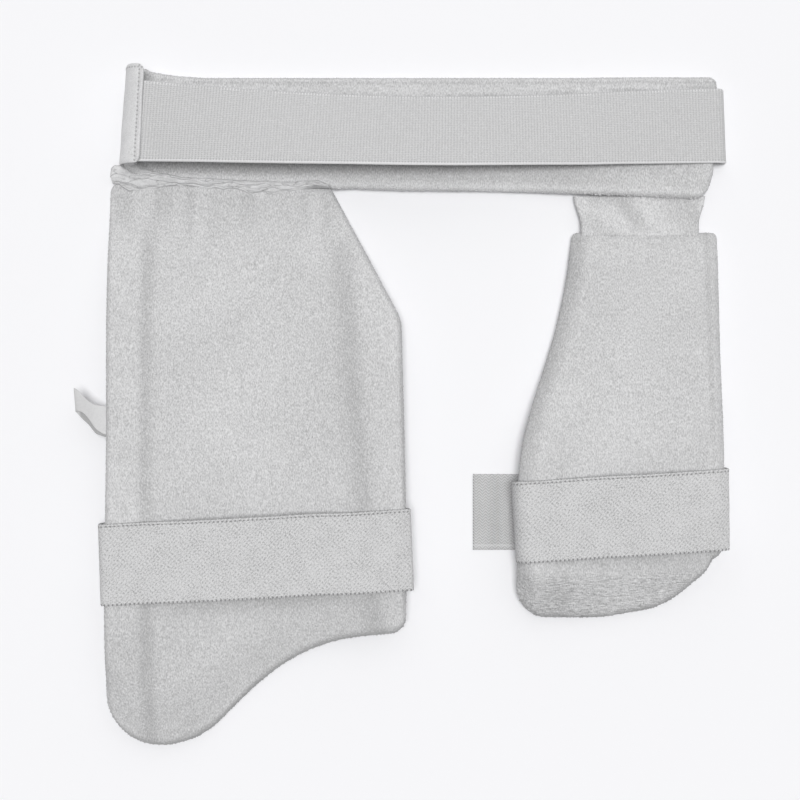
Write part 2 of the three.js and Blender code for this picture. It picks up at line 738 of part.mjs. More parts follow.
// The label is one strip, folded at its free end: out from the seam, round the fold and back.
function makeLabel() {
  const middleY = outerCorner - labelDrop;
  const seamZ = outer.under(0, middleY) + outer.thickness(0, middleY) / 2;
  const root = -seamGap;
  const foldRadius = labelOpening / 2;
  const layers = (side) =>
    evenShares(5).map((t) => ({
      x: root - (side > 0 ? 1 - t : t) * (labelReach - foldRadius),
      z: seamZ + side * mix(foldRadius, 0.6 * foldRadius, side > 0 ? t : 1 - t),
    }));
  const fold = evenShares(6)
    .slice(1, -1)
    .map((t) => ({
      x: root - labelReach + foldRadius - foldRadius * Math.sin(Math.PI * t),
      z: seamZ - foldRadius * Math.cos(Math.PI * t),
    }));
  const stations = [...layers(-1), ...fold, ...layers(1)].map(({ x, z }) => {
    const y = middleY + (labelRise * (root - x)) / labelReach;
    return {
      top: new THREE.Vector3(x, y + labelWidth / 2, z),
      bottom: new THREE.Vector3(x, y - labelWidth / 2, z),
    };
  });
  return band("side_label", stations, labelThickness, satin);
}

const guard = new THREE.Group();
guard.add(
  makeOuterPad(),
  makeInnerPad(),
  makeBelt(),
  makeTab(),
  makeWaistStrap(),
  makeHem(),
  makeNeck(),
  makeThighStrap("outer_thigh_strap", outer, {
    middleY: outerStrapY,
    slope: outerStrapSlope,
    slack: outerStrapSlack,
  }),
  makeThighStrap("inner_thigh_strap", inner, { middleY: innerStrapY, slope: innerStrapSlope, slack: 0 }),
  makeStrapTail(),
  makeLabel(),
);

// The origin is on the surface, under the middle of the guard.
const middle = new THREE.Box3().setFromObject(guard).getCenter(new THREE.Vector3());
guard.position.set(-middle.x, -middle.y, 0);

export default guard;
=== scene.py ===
"""The look of a combined cricket thigh guard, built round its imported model.

A padded waist belt carries an outer and an inner thigh pad, and woven elastic straps cross all three. The
guard lies on its outer side, so the towelling that meets the body is on top.

Shapes are worked out in millimetres in the layout's own frame: x = 0 is the outer pad's left edge, y = 0 is
the belt's top edge and z = 0 is the surface below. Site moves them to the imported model's frame, in metres.
"""

from __future__ import annotations

import logging
import math
from collections.abc import Callable, Sequence
from dataclasses import dataclass, field
from enum import Enum

import bpy
import numpy as np
from mathutils.geometry import convex_hull_2d
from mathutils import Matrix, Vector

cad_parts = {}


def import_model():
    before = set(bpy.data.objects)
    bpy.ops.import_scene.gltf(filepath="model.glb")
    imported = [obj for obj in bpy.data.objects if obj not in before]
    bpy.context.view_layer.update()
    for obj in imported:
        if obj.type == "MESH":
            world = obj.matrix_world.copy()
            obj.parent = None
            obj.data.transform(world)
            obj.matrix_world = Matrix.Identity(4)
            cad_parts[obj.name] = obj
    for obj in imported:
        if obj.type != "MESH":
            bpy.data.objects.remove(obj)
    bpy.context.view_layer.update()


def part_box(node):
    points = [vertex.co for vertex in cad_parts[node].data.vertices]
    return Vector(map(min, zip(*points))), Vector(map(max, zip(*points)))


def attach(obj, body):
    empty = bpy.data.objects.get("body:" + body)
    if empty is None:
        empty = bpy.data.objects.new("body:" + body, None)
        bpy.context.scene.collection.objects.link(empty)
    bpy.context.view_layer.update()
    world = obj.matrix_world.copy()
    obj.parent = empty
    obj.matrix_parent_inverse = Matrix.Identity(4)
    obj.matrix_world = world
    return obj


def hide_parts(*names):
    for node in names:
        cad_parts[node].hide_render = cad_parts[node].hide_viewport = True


Array = np.ndarray
MILLIMETRE = 0.001
UV_NAME = "weave"
# Name of the point attribute that holds painted shade: it darkens the towelling's colour, and below zero
# lightens it as a painted highlight.
PAINTED_SHADE = "painted_shade"

log = logging.getLogger("thigh_guard")


class Slot(Enum):
    """The record's material slots."""

    TOWELLING = "towelling"
    BINDING = "binding_cloth"
    FACING = "smooth_facing"
    RIBBED = "ribbed_elastic"
    BRUSHED = "brushed_elastic"
    HERRINGBONE = "herringbone_elastic"
    SATIN = "satin_label"


# Arithmetic on whole arrays


def mix(start: Array | float, end: Array | float, share: Array | float) -> Array | float:
    """The value that lies a share of the way from start to end."""
    return start + (end - start) * share


def smooth(share: Array | float) -> Array | float:
    """A step from 0 to 1 that starts and ends level: 3t² - 2t³."""
    held = np.clip(share, 0.0, 1.0)
    return held * held * (3.0 - 2.0 * held)


def rise(place: Array | float, start: float, span: float) -> Array | float:
    """A smooth step from 0 to 1 that begins at the start and takes the span."""
    return smooth((place - start) / span)


def bump(apart: Array | float, width: float) -> Array | float:
    """A bell that is 1 where the distance is nothing and falls off over the width: exp(-(d / w)²)."""
    return np.exp(-((apart / width) ** 2))


def rounded_least(first: Array, second: Array | float, softness: float) -> Array:
    """The lesser of two values, with the corner between them rounded over the softness."""
    share = np.clip(0.5 + (second - first) / (2.0 * softness), 0.0, 1.0)
    return mix(second, first, share) - softness * share * (1.0 - share)


def rounded_end(distance: Array, width: float, least: float) -> Array:
    """The share of a layer's thickness that is left at a distance from its end, rounded over the width."""
    inside = np.clip(1.0 - distance / width, 0.0, None)
    return np.sqrt(np.clip(1.0 - inside**2, least, 1.0))


def corner_inset(distance: Array, radius: float) -> Array:
    """How far a round corner lies inside a straight edge, at a distance from the side that it turns into."""
    inside = np.clip(radius - distance, 0.0, radius)
    return radius - np.sqrt(radius**2 - inside**2)


def ridge(share: Array) -> Array:
    """A row of round ridges, one for each whole number, between sharp furrows: |sin(pi t)|."""
    return np.abs(np.sin(np.pi * share))


def unit(vectors: Array) -> Array:
    """The vectors with a length of one."""
    return vectors / np.maximum(np.linalg.norm(vectors, axis=-1, keepdims=True), 1e-12)


def stacked(*parts: Array | float) -> Array:
    """Points from their coordinates, each of which is spread over the whole grid."""
    return np.stack(np.broadcast_arrays(*parts), -1)


def along(points: Array) -> Array:
    """The distance along a line of points, from its first one."""
    steps = np.linalg.norm(np.diff(points, axis=0), axis=1)
    return np.concatenate([[0.0], np.cumsum(steps)])


def resample(points: Array, reach: Array, places: Array) -> Array:
    """The points at some places, where reach says how far along each given point lies."""
    return np.stack([np.interp(places, reach, axis) for axis in points.T], -1)


def grid_normals(grid: Array) -> Array:
    """Unit normals of a grid of points: across × along, which points up on a face seen from above."""
    return unit(np.cross(np.gradient(grid, axis=1), np.gradient(grid, axis=0)))


def lying(ahead: Array) -> Array:
    """Frames of three unit vectors for shapes that lie along a heading: ahead, level sideways, and up."""
    side = unit(np.cross(np.array([0.0, 0.0, 1.0]), ahead))
    return np.stack([ahead, side, np.cross(ahead, side)], 1)


@dataclass(frozen=True)
class Curve:
    """A smooth curve through a few given rows, which never overshoots them."""

    rows: Sequence[tuple[float, float]]

    def __call__(self, place: Array | float) -> Array:
        """Cubic steps between the rows, whose slopes are the harmonic means of the slopes on each side.

        Args:
            place: where along the first column.
        Returns:
            The second column's values there.
        """
        xs, ys = np.array(self.rows, float).T
        steps = np.diff(ys) / np.diff(xs)
        product = steps[:-1] * steps[1:]
        total = np.where(product > 0.0, steps[:-1] + steps[1:], 1.0)
        inner = np.where(product > 0.0, 2.0 * product / total, 0.0)
        slopes = np.concatenate([steps[:1], inner, steps[-1:]])
        i = np.clip(np.searchsorted(xs, place, side="right") - 1, 0, len(xs) - 2)
        span = xs[i + 1] - xs[i]
        t = np.clip((place - xs[i]) / span, 0.0, 1.0)
        level = ys[i] * (1.0 + 2.0 * t) * (1.0 - t) ** 2 + ys[i + 1] * t**2 * (3.0 - 2.0 * t)
        return level + span * (slopes[i] * t * (1.0 - t) ** 2 - slopes[i + 1] * t**2 * (1.0 - t))


@dataclass(frozen=True)
class Line:
    """A raised or pressed line whose section is a bell, at a distance from an edge."""

    height: float
    inset: float
    width: float

    def __call__(self, distance: Array) -> Array:
        """What it adds at a distance from the edge."""
        return self.height * bump(distance - self.inset, self.width)


@dataclass(frozen=True)
class Unevenness:
    """Soft seeded unevenness over a plane."""

    seed: int
    spacing: float
    count: int = 64

    def __call__(self, x: Array, y: Array | float = 0.0) -> Array:
        """Random heights from -1 to 1 on a square lattice, joined by smooth steps.

        Args:
            x, y: places on the plane, in the unit of the spacing.
        Returns:
            The heights there.
        """
        lattice = np.random.default_rng(self.seed).uniform(-1.0, 1.0, (self.count, self.count))
        u, v = x / self.spacing, y / self.spacing
        i, j = np.floor(u).astype(int), np.floor(v).astype(int)
        s, t = smooth(u - i), smooth(v - j)

        def at(right: int, up: int) -> Array:
            """The lattice's height at a cell's corner."""
            return lattice[(i + right) % self.count, (j + up) % self.count]

        return mix(mix(at(0, 0), at(1, 0), s), mix(at(0, 1), at(1, 1), s), t)


# Meshes


@dataclass
class Sheet:
    """The points and faces of one mesh, in the layout's millimetres.

    It may hold a UV corner for each face corner, and for each point its painted shade, which darkens the
    towelling's colour.
    """

    points: Array
    faces: Array
    corners: Array | None = None
    painted_shade: Array | None = None
    rounded: bool = True

    @classmethod
    def shell(
        cls,
        upper: Array,
        lower: Array,
        uv: Array | None = None,
        closed: bool = False,
        painted_shade: Array | None = None,
    ) -> "Sheet":
        """Two grids of points as the two faces of a wall, joined all round by narrow quads.

        Args:
            upper, lower: points by row and column; a row's next one lies along, a column's next one across.
            uv: places on the cloth by row and column, with one row more where the wall closes on itself.
            closed: whether the last row is joined to the first.
            painted shade: how far the upper face's colour is darkened as painted shade; below zero it is a
                painted highlight.
        Returns:
            One closed surface whose faces point outwards.
        """
        rows, columns = upper.shape[:2]
        steps = np.arange(rows if closed else rows - 1)
        lanes = np.arange(columns - 1)
        i, j = (axis.ravel() for axis in np.meshgrid(steps, lanes, indexing="ij"))
        last = columns - 1

        def quad(*corners: tuple) -> Array:
            """Quads from four corners, each a layer, a row and a column."""
            return np.stack([stacked(*corner) for corner in corners], 1)

        faces = [
            quad((0, i, j), (0, i, j + 1), (0, i + 1, j + 1), (0, i + 1, j)),
            quad((1, i, j), (1, i + 1, j), (1, i + 1, j + 1), (1, i, j + 1)),
            quad((0, steps, 0), (0, steps + 1, 0), (1, steps + 1, 0), (1, steps, 0)),
            quad((0, steps + 1, last), (0, steps, last), (1, steps, last), (1, steps + 1, last)),
        ]
        if not closed:
            end = rows - 1
            faces.append(quad((0, 0, lanes + 1), (0, 0, lanes), (1, 0, lanes), (1, 0, lanes + 1)))
            faces.append(quad((0, end, lanes), (0, end, lanes + 1), (1, end, lanes + 1), (1, end, lanes)))
        layer, row, column = np.moveaxis(np.concatenate(faces), -1, 0)
        index = layer * rows * columns + (row % rows) * columns + column
        points = np.concatenate([upper.reshape(-1, 3), lower.reshape(-1, 3)])
        if painted_shade is not None:
            painted_shade = np.concatenate([painted_shade.ravel(), np.zeros(painted_shade.size)])
        return cls(points, index, None if uv is None else uv[row, column], painted_shade)

    @classmethod
    def scatter(
        cls, shape: "Bead", centres: Array, frames: Array, sizes: Array, painted_shade: Array | None = None
    ) -> "Sheet":
        """Many copies of one small shape: centre + frame · (size × point).

        Args:
            shape: the shape to repeat.
            centres: where each copy stands.
            frames: three unit vectors for each copy: its length, its width and its height.
            sizes: length, width and height of each copy.
            painted shade: the painted shade at each copy, for loops of pile.
        Returns:
            All the copies as one mesh, faceted where they are pile.
        """
        local = shape.points[None] * sizes[:, None, :]
        points = centres[:, None, :] + np.einsum("nka,nab->nkb", local, frames)
        shift = np.arange(len(centres))[:, None, None] * len(shape.points)
        faces = (shape.faces[None] + shift).reshape(-1, shape.faces.shape[1])
        if painted_shade is not None:
            painted_shade = np.repeat(painted_shade, len(shape.points))
        return cls(points.reshape(-1, 3), faces, None, painted_shade, painted_shade is None)


@dataclass(frozen=True)
class Bead:
    """A small closed shape that is repeated many times, one unit across."""

    points: Array
    faces: Array

    @classmethod
    def tuft(cls) -> "Bead":
        """Two three-sided pyramids on one base, the least shape that reads as a loop of pile."""
        turn = 2.0 * np.pi * np.arange(3) / 3.0
        base = np.stack([np.cos(turn) / 2.0, np.sin(turn) / 2.0, np.zeros(3)], 1)
        points = np.concatenate([base, [[0.12, 0.0, 0.5], [0.0, 0.0, -0.5]]])
        faces = [(0, 1, 3), (1, 2, 3), (2, 0, 3), (1, 0, 4), (2, 1, 4), (0, 2, 4)]
        return cls(points, np.array(faces))

    @classmethod
    def stitch(cls) -> "Bead":
        """A stretched ball of six sides and three rings, with its two poles along its length."""
        sides = 6
        turn = 2.0 * np.pi * np.arange(sides) / sides
        rings = []
        for place, girth in ((-0.36, 0.7), (0.0, 1.0), (0.36, 0.7)):
            across = np.stack([np.cos(turn), np.sin(turn)], 1) * girth / 2.0
            rings.append(np.column_stack([np.full(sides, place), across]))
        points = np.concatenate([*rings, [[-0.5, 0.0, 0.0], [0.5, 0.0, 0.0]]])
        ring = np.arange(sides)
        following = (ring + 1) % sides
        faces = []
        for start in (0, sides):
            far = start + sides
            faces.append(np.stack([start + ring, start + following, far + following], 1))
            faces.append(np.stack([start + ring, far + following, far + ring], 1))
        first, last = 3 * sides, 3 * sides + 1
        faces.append(np.stack([np.full(sides, first), following, ring], 1))
        faces.append(np.stack([np.full(sides, last), 2 * sides + ring, 2 * sides + following], 1))
        return cls(points, np.concatenate(faces))


@dataclass(frozen=True)
class Site:
    """Where the layout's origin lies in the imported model's frame, in millimetres."""

    x: float
    y: float

    def place(self, points: Array) -> Array:
        """Points of the layout, in the frame's metres."""
        return (points + np.array([self.x, self.y, 0.0])) * MILLIMETRE


@dataclass
class Bench:
    """Makes objects out of sheets, dresses them and hides the imported model's nodes that they stand for."""

    site: Site
    materials: dict[Slot, bpy.types.Material]

    def add(self, name: str, sheet: Sheet, slot: Slot, nodes: Sequence[str] = ()) -> bpy.types.Object:
        """Makes one piece.

        Args:
            name: the piece's name.
            sheet: its mesh, in the layout's millimetres.
            slot: its finish.
            nodes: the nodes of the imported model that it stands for.
        Returns:
            The finished object, riding on the guard's one body.
        """
        mesh = bpy.data.meshes.new(name)
        corners = sheet.faces.ravel()
        starts = np.arange(len(sheet.faces)) * sheet.faces.shape[1]
        mesh.vertices.add(len(sheet.points))
        mesh.vertices.foreach_set("co", self.site.place(sheet.points).astype(np.float32).ravel())
        mesh.loops.add(len(corners))
        mesh.loops.foreach_set("vertex_index", corners.astype(np.int32))
        mesh.polygons.add(len(starts))
        mesh.polygons.foreach_set("loop_start", starts.astype(np.int32))
        mesh.polygons.foreach_set("use_smooth", np.full(len(starts), sheet.rounded))
        if sheet.corners is not None:
            layer = mesh.uv_layers.new(name=UV_NAME)
            layer.data.foreach_set("uv", (sheet.corners * MILLIMETRE).astype(np.float32).ravel())
        if sheet.painted_shade is not None:
            layer = mesh.attributes.new(PAINTED_SHADE, "FLOAT", "POINT")
            layer.data.foreach_set("value", sheet.painted_shade.astype(np.float32))
        mesh.update(calc_edges=True)
        mesh.validate()
        mesh.materials.append(self.materials[slot])
        piece = bpy.data.objects.new(name, mesh)
        bpy.context.scene.collection.objects.link(piece)
        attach(piece, "root")
        if nodes:
            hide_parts(*nodes)
        log.info("%s: %d faces", name, len(starts))
        return piece

    def sew(self, name: str, centres: Array, frames: Array, sizes: Array) -> bpy.types.Object:
        """Makes a row of stitches of binding thread."""
        return self.add(name, Sheet.scatter(Bead.stitch(), centres, frames, sizes), Slot.BINDING)


# Finishes


class Wire:
    """A socket of a material's node tree, which takes part in Python expressions."""

    def __init__(self, tree: "Tree", socket: bpy.types.NodeSocket) -> None:
        """Keeps the socket and the tree that it belongs to."""
        self.tree = tree
        self.socket = socket

    def __add__(self, other: "Wire | float") -> "Wire":
        """Sum."""
        return self.tree.maths("ADD", self, other)

    def __sub__(self, other: "Wire | float") -> "Wire":
        """Difference."""
        return self.tree.maths("SUBTRACT", self, other)

    def __rsub__(self, other: float) -> "Wire":
        """Difference from a number."""
        return self.tree.maths("SUBTRACT", other, self)

    def __mul__(self, other: "Wire | float") -> "Wire":
        """Product."""
        return self.tree.maths("MULTIPLY", self, other)

    def __truediv__(self, other: "Wire | float") -> "Wire":
        """Quotient."""
        return self.tree.maths("DIVIDE", self, other)

    __radd__ = __add__
    __rmul__ = __mul__

    def maths(self, operation: str) -> "Wire":
        """The result of an operation on this value alone."""
        return self.tree.maths(operation, self)

    def most(self, other: "Wire | float") -> "Wire":
        """The greater of two values."""
        return self.tree.maths("MAXIMUM", self, other)

    def apart(self, value: float) -> "Wire":
        """The distance from a value."""
        return (self - value).maths("ABSOLUTE")

    def far(self, other: "Wire") -> "Wire":
        """The length of two distances that stand square to each other."""
        return (self * self + other * other).maths("SQRT")

    def rows(self, pitch: float) -> "Wire":
        """Round ridges at a pitch, 1 on each crest and 0 in each furrow."""
        return (self * (math.pi / pitch)).maths("SINE").maths("ABSOLUTE")

    def offset(self, pitch: float) -> "Wire":
        """The distance from the nearest whole multiple of a pitch."""
        return (self / pitch).maths("FRACT").apart(0.5) * pitch

    def step(self, low: float, high: float, start: float, end: float) -> "Wire":
        """A smooth step from a start value to an end value while this one goes from low to high."""
        values = {"Value": self, "From Min": low, "From Max": high, "To Min": start, "To Max": end}
        return self.tree.read("ShaderNodeMapRange", "Result", {"interpolation_type": "SMOOTHSTEP"}, values)

    def within(self, low: float, high: float) -> "Wire":
        """A smooth step that is 1 below low and 0 above high."""
        return self.step(low, high, 1.0, 0.0)

    def beyond(self, low: float, high: float) -> "Wire":
        """A smooth step that is 0 below low and 1 above high."""
        return self.step(low, high, 0.0, 1.0)


class Tree:
    """The node tree of one material."""

    def __init__(self, name: str) -> None:
        """Starts an empty material."""
        self.material = bpy.data.materials.new(name)
        self.material.use_nodes = True
        self.nodes = self.material.node_tree.nodes
        self.links = self.material.node_tree.links
        self.nodes.clear()

    def node(self, kind: str, settings: dict | None = None, values: dict | None = None) -> bpy.types.Node:
        """Adds a node.

        Args:
            kind: the node's type.
            settings: its own properties, set first.
            values: numbers, colours or wires for its sockets, by name or number.
        Returns:
            The node.
        """
        node = self.nodes.new(kind)
        for key, value in (settings or {}).items():
            setattr(node, key, value)
        for key, value in (values or {}).items():
            if isinstance(value, Wire):
                self.links.new(value.socket, node.inputs[key])
            else:
                node.inputs[key].default_value = value
        return node

    def read(
        self, kind: str, output: int | str, settings: dict | None = None, values: dict | None = None
    ) -> Wire:
        """One output of a new node."""
        return Wire(self, self.node(kind, settings, values).outputs[output])

    def maths(self, operation: str, *operands: Wire | float) -> Wire:
        """The result of a Math node."""
        return self.read("ShaderNodeMath", 0, {"operation": operation}, dict(enumerate(operands)))

    def place(self) -> Wire:
        """The place on the object, in metres."""
        return self.read("ShaderNodeTexCoord", "Object")

    def parts(self, vector: Wire) -> tuple[Wire, Wire]:
        """A vector's x and y."""
        node = self.node("ShaderNodeSeparateXYZ", None, {0: vector})
        return Wire(self, node.outputs["X"]), Wire(self, node.outputs["Y"])

    def cloth_place(self) -> tuple[Wire, Wire]:
        """The place along and across a woven piece, in metres."""
        return self.parts(self.read("ShaderNodeUVMap", "UV", {"uv_map": UV_NAME}))

    def painted_shade(self) -> Wire:
        """The painted shade that darkens the towelling's colour, from 0 to 1 in the main; below zero it is a
        painted highlight.
        """
        settings = {"attribute_type": "GEOMETRY", "attribute_name": PAINTED_SHADE}
        return self.read("ShaderNodeAttribute", "Fac", settings)

    def join(self, x: Wire, y: Wire) -> Wire:
        """A place made of two distances."""
        return self.read("ShaderNodeCombineXYZ", 0, None, {0: x, 1: y})

    def stretched(self, x: float, y: float) -> Wire:
        """The place on the object with its x and y scaled, so that what is read there is drawn out."""
        values = {0: self.place(), 1: (x, y, 1.0)}
        return self.read("ShaderNodeVectorMath", 0, {"operation": "MULTIPLY"}, values)

    def noise(self, size: float, detail: float = 2.0, place: Wire | None = None) -> Wire:
        """Soft noise from 0 to 1 whose patches have the given size in metres."""
        values = {"Vector": place or self.place(), "Scale": 1.0 / size, "Detail": detail}
        return self.read("ShaderNodeTexNoise", 0, None, values)

    def cells(self, size: float, place: Wire | None = None) -> Wire:
        """The distance from the nearest of many scattered points, in shares of their spacing."""
        values = {"Vector": place or self.place(), "Scale": 1.0 / size}
        return self.read("ShaderNodeTexVoronoi", "Distance", None, values)

    def tint(self, share: Wire, low: Sequence[float], high: Sequence[float]) -> Wire:
        """A colour that goes from low to high with a share."""
        values = {0: share, 6: low, 7: high}
        return self.read("ShaderNodeMix", 2, {"data_type": "RGBA", "clamp_factor": True}, values)

    def close(self, shader: dict) -> bpy.types.Material:
        """Closes the tree with one shader, whose values are given by name."""
        cloth = self.node("ShaderNodeBsdfPrincipled", None, shader)
        self.links.new(cloth.outputs[0], self.node("ShaderNodeOutputMaterial").inputs[0])
        return self.material


@dataclass(frozen=True)
class Finish:
    """What all the finishes share: near-white cloth with one shader and a fine relief.

    The colour goes from the gap's share of the shade to the full share of it while the cloth's light, which
    each finish works out in its own way, goes from dim to bright. Sizes are in metres.
    """

    slot: Slot
    shade: float
    gap: float
    full: float
    dim: float
    bright: float
    depth: float
    roughness: float
    specular: float
    sheen: float = 0.05
    sheen_roughness: float = 0.5
    coolness: float = 1.008

    def colour(self, share: float) -> tuple[float, float, float, float]:
        """The slightly cool shade at a share of its lightness."""
        value = self.shade * share
        return value, value, value * self.coolness, 1.0

    def weave(self, tree: Tree) -> tuple[Wire, Wire]:
        """The cloth's light, and the height of its relief as a share of the depth."""
        raise NotImplementedError

    def build(self) -> bpy.types.Material:
        """Turns light into colour and height into relief under one shader."""
        tree = Tree(self.slot.value)
        light, height = self.weave(tree)
        relief = {"Strength": 1.0, "Distance": self.depth, "Height": height}
        shader = {
            "Base Color": tree.tint(
                light.beyond(self.dim, self.bright), self.colour(self.gap), self.colour(self.full)
            ),
            "Normal": tree.read("ShaderNodeBump", 0, None, relief),
            "Roughness": self.roughness,
            "Specular IOR Level": self.specular,
            "Sheen Weight": self.sheen,
            "Sheen Roughness": self.sheen_roughness,
        }
        return tree.close(shader)


@dataclass(frozen=True)
class TowellingFinish(Finish):
    """Looped cotton, brushed along the pads: fine grain and strands, a few dark pits, broad worn patches."""

    slot: Slot = Slot.TOWELLING
    shade: float = 0.7
    gap: float = 0.6
    full: float = 1.2
    dim: float = 0.5
    bright: float = 2.41
    depth: float = 0.0004
    roughness: float = 1.0
    specular: float = 0.1
    sheen_roughness: float = 0.6
    grain: float = 0.00075
    strand: float = 0.0011
    pit: float = 0.0034
    patch: float = 0.008
    drift: float = 0.05
    # How strongly the painted shade darkens the towelling's colour.
    flat: float = 0.34
    toe_line: float = -0.112
    toe_side: float = 0.06
    toe_low: float = -0.143
    toe_end: float = 0.12
    blend: float = 0.012

    def weave(self, tree: Tree) -> tuple[Wire, Wire]:
        """Noise drawn out along the pads, and across them on the inner pad's toe, where it is pulled."""
        x, y = tree.parts(tree.place())
        toe = y.within(self.toe_line - self.blend, self.toe_line)
        toe = toe * x.beyond(self.toe_side, self.toe_side + 0.01)
        low_toe = toe * y.within(self.toe_low, self.toe_low + self.blend)
        low_toe = low_toe * x.within(self.toe_end, self.toe_end + 0.03)
        grain = tree.noise(self.grain, 1.0, tree.stretched(1.0, 0.45))
        strands = tree.noise(self.strand, 2.0, tree.stretched(1.0, 0.3))
        pulled = tree.noise(self.strand, 2.0, tree.stretched(0.22, 1.1))
        pits = tree.cells(self.pit).within(0.06, 0.24) * (toe * 1.6 + 0.8)
        pits = pits + tree.cells(self.pit * 0.75).within(0.1, 0.42) * low_toe * 2.4
        threads = strands * (1.0 - toe) + (pulled * 3.8 - 1.4) * toe
        height = grain * 0.9 + threads * 0.7 - pits * 0.3
        broad = tree.noise(self.patch, 2.0) * 0.15 + tree.noise(self.drift, 1.0) * 0.3
        light = grain * 1.9 + threads * 0.55 + broad - pits * 0.3
        # The painted shade attribute darkens the colour; below zero it lightens it as a painted highlight.
        return light - tree.painted_shade() * self.flat, height


@dataclass(frozen=True)
class BindingFinish(Finish):
    """Fine knitted binding, creased along its folds."""

    slot: Slot = Slot.BINDING
    shade: float = 0.72
    gap: float = 0.7
    full: float = 1.06
    dim: float = 0.2
    bright: float = 0.85
    depth: float = 0.00025
    roughness: float = 0.9
    specular: float = 0.2
    knit: float = 0.0009
    crease: float = 0.0035

    def weave(self, tree: Tree) -> tuple[Wire, Wire]:
        """Fine noise for the knit over longer creases, and thin cracks where a slow noise crosses a value."""
        knit = tree.noise(self.knit, 2.0)
        creases = tree.noise(self.crease, 3.0, tree.stretched(0.5, 1.0))
        folds = tree.noise(self.crease * 1.2, 1.0, tree.stretched(0.22, 1.0))
        cracks = folds.apart(0.47).within(0.0, 0.022)
        height = knit * 0.5 + creases * 0.7 - cracks * 0.5
        return height - cracks * 0.1, height


@dataclass(frozen=True)
class FacingFinish(Finish):
    """Smooth woven facing with a very fine grain, and the dark holes of the stitches along two edges."""

    slot: Slot = Slot.FACING
    shade: float = 0.75
    gap: float = 0.62
    full: float = 1.06
    dim: float = -0.05
    bright: float = 0.95
    depth: float = 0.00015
    roughness: float = 0.75
    specular: float = 0.3
    grain: float = 0.0008
    patch: float = 0.012
    pitch: float = 0.0029
    side_row: float = 0.0313
    top_row: float = 0.0026

    def weave(self, tree: Tree) -> tuple[Wire, Wire]:
        """A fine grain over soft patches; the holes are dots on a line, at a pitch."""
        run, across = tree.cloth_place()
        grain = tree.noise(self.grain, 2.0)

        def holes(line: Wire, beside: Wire) -> Wire:
            """Dots on a line, at a pitch along it."""
            return line.far(beside.offset(self.pitch)).within(0.0004, 0.0009)

        dark = holes(run - self.side_row, across).most(holes(across - self.top_row, run))
        return grain + tree.noise(self.patch, 2.0) * 0.3 - dark * 0.9, grain - dark


@dataclass(frozen=True)
class RibbedFinish(Finish):
    """Ribbed elastic: ribs across the strap, small gaps between rib and weft, and a smooth selvedge with a
    painted highlight.
    """

    slot: Slot = Slot.RIBBED
    shade: float = 0.632
    gap: float = 0.72
    full: float = 1.28
    dim: float = 0.1
    bright: float = 1.5
    depth: float = 0.00022
    roughness: float = 0.8
    specular: float = 0.25
    rib: float = 0.00213
    weft: float = 0.0014
    fluff: float = 0.0009
    patch: float = 0.014
    width: float = 0.057
    selvedge: float = 0.0013
    top_row: float = 0.0013
    low_row: float = 0.0021

    def weave(self, tree: Tree) -> tuple[Wire, Wire]:
        """Ribs and wefts are rounded rows whose furrows cross in dark gaps; patches show one or the other."""
        run, across = tree.cloth_place()
        ribs = run.rows(self.rib)
        wefts = across.rows(self.weft)
        noise = tree.noise(self.fluff, 2.0)
        patches = tree.noise(self.patch, 2.0).beyond(0.35, 0.65)
        gap = ribs.within(0.2, 0.75) * wefts.within(0.3, 0.85)
        edge = across.beyond(self.width - self.selvedge - 0.0003, self.width - self.selvedge)
        high_row = across.apart(self.top_row).within(0.0003, 0.0009)
        low_row = across.apart(self.width - self.low_row).within(0.0003, 0.0008)
        start = run.within(0.04, 0.1) * 0.6
        woven = ribs * mix(0.36, 0.2, patches) + wefts * mix(0.15, 0.33, patches)
        height = (woven * 0.8 + noise * 0.4 + high_row * 0.3) * (1.0 - edge) + edge * 0.9
        dark = (gap * (0.65 + start) + low_row * ribs.within(0.3, 0.8) * 1.5) * (1.0 - edge)
        # The selvedge's lighter colour is a painted highlight where its edge catches the light.
        bright = high_row * ribs.beyond(0.5, 0.9) * (0.15 + patches * 0.4) + edge * 0.55
        return woven * 0.5 + noise + bright - dark * 0.6, height


@dataclass(frozen=True)
class BrushedFinish(Finish):
    """Brushed elastic: a speckled slanting weave with a dotted row inside each edge."""

    slot: Slot = Slot.BRUSHED
    shade: float = 0.512
    gap: float = 0.55
    full: float = 1.38
    dim: float = 0.4
    bright: float = 1.55
    depth: float = 0.00025
    roughness: float = 0.95
    specular: float = 0.15
    pitch: float = 0.00305
    width: float = 0.058
    twill: float = 0.0021
    thread: float = 0.0007
    speck: float = 0.0019
    patch: float = 0.012
    top_row: float = 0.002
    low_row: float = 0.0009
    top_dot: tuple[float, float] = (0.0009, 0.0007)
    low_dot: tuple[float, float] = (0.0008, 0.001)

    def weave(self, tree: Tree) -> tuple[Wire, Wire]:
        """Short slanting threads and specks over regular twill rows, and dark dots by the edge cords."""
        run, across = tree.cloth_place()
        over = (run + across) * 0.707
        with_thread = (run - across) * 0.707
        threads = tree.noise(self.thread, 1.0, tree.join(over, with_thread * 0.5))
        specks = tree.cells(self.speck, tree.join(over, with_thread * 0.6)).within(0.08, 0.3)
        beside = run.offset(self.pitch)

        def dots(line: float, size: tuple[float, float]) -> Wire:
            """Dark dots on a line at a distance from the upper edge, with a length and a width."""
            return (beside / size[0]).far((across - line) / size[1]).within(0.5, 1.0)

        row_line_and_edge_shade = across.apart(self.top_row).within(0.0002, 0.0009) * 0.15
        # A painted shade line along the very upper edge, where the strap meets the pad.
        row_line_and_edge_shade = row_line_and_edge_shade + across.within(0.0002, 0.0008) * 0.35
        dark = (dots(self.top_row, self.top_dot) * 0.75).most(dots(self.width - self.low_row, self.low_dot))
        twill = over.rows(self.twill) * 0.2 + with_thread.rows(self.twill * 1.4) * 0.12
        woven = twill + threads * 1.7 - specks * 0.25
        light = woven + tree.noise(self.patch, 2.0) * 0.3 - dark * 0.9 - row_line_and_edge_shade
        return light, woven * 0.6 - dark * 0.8


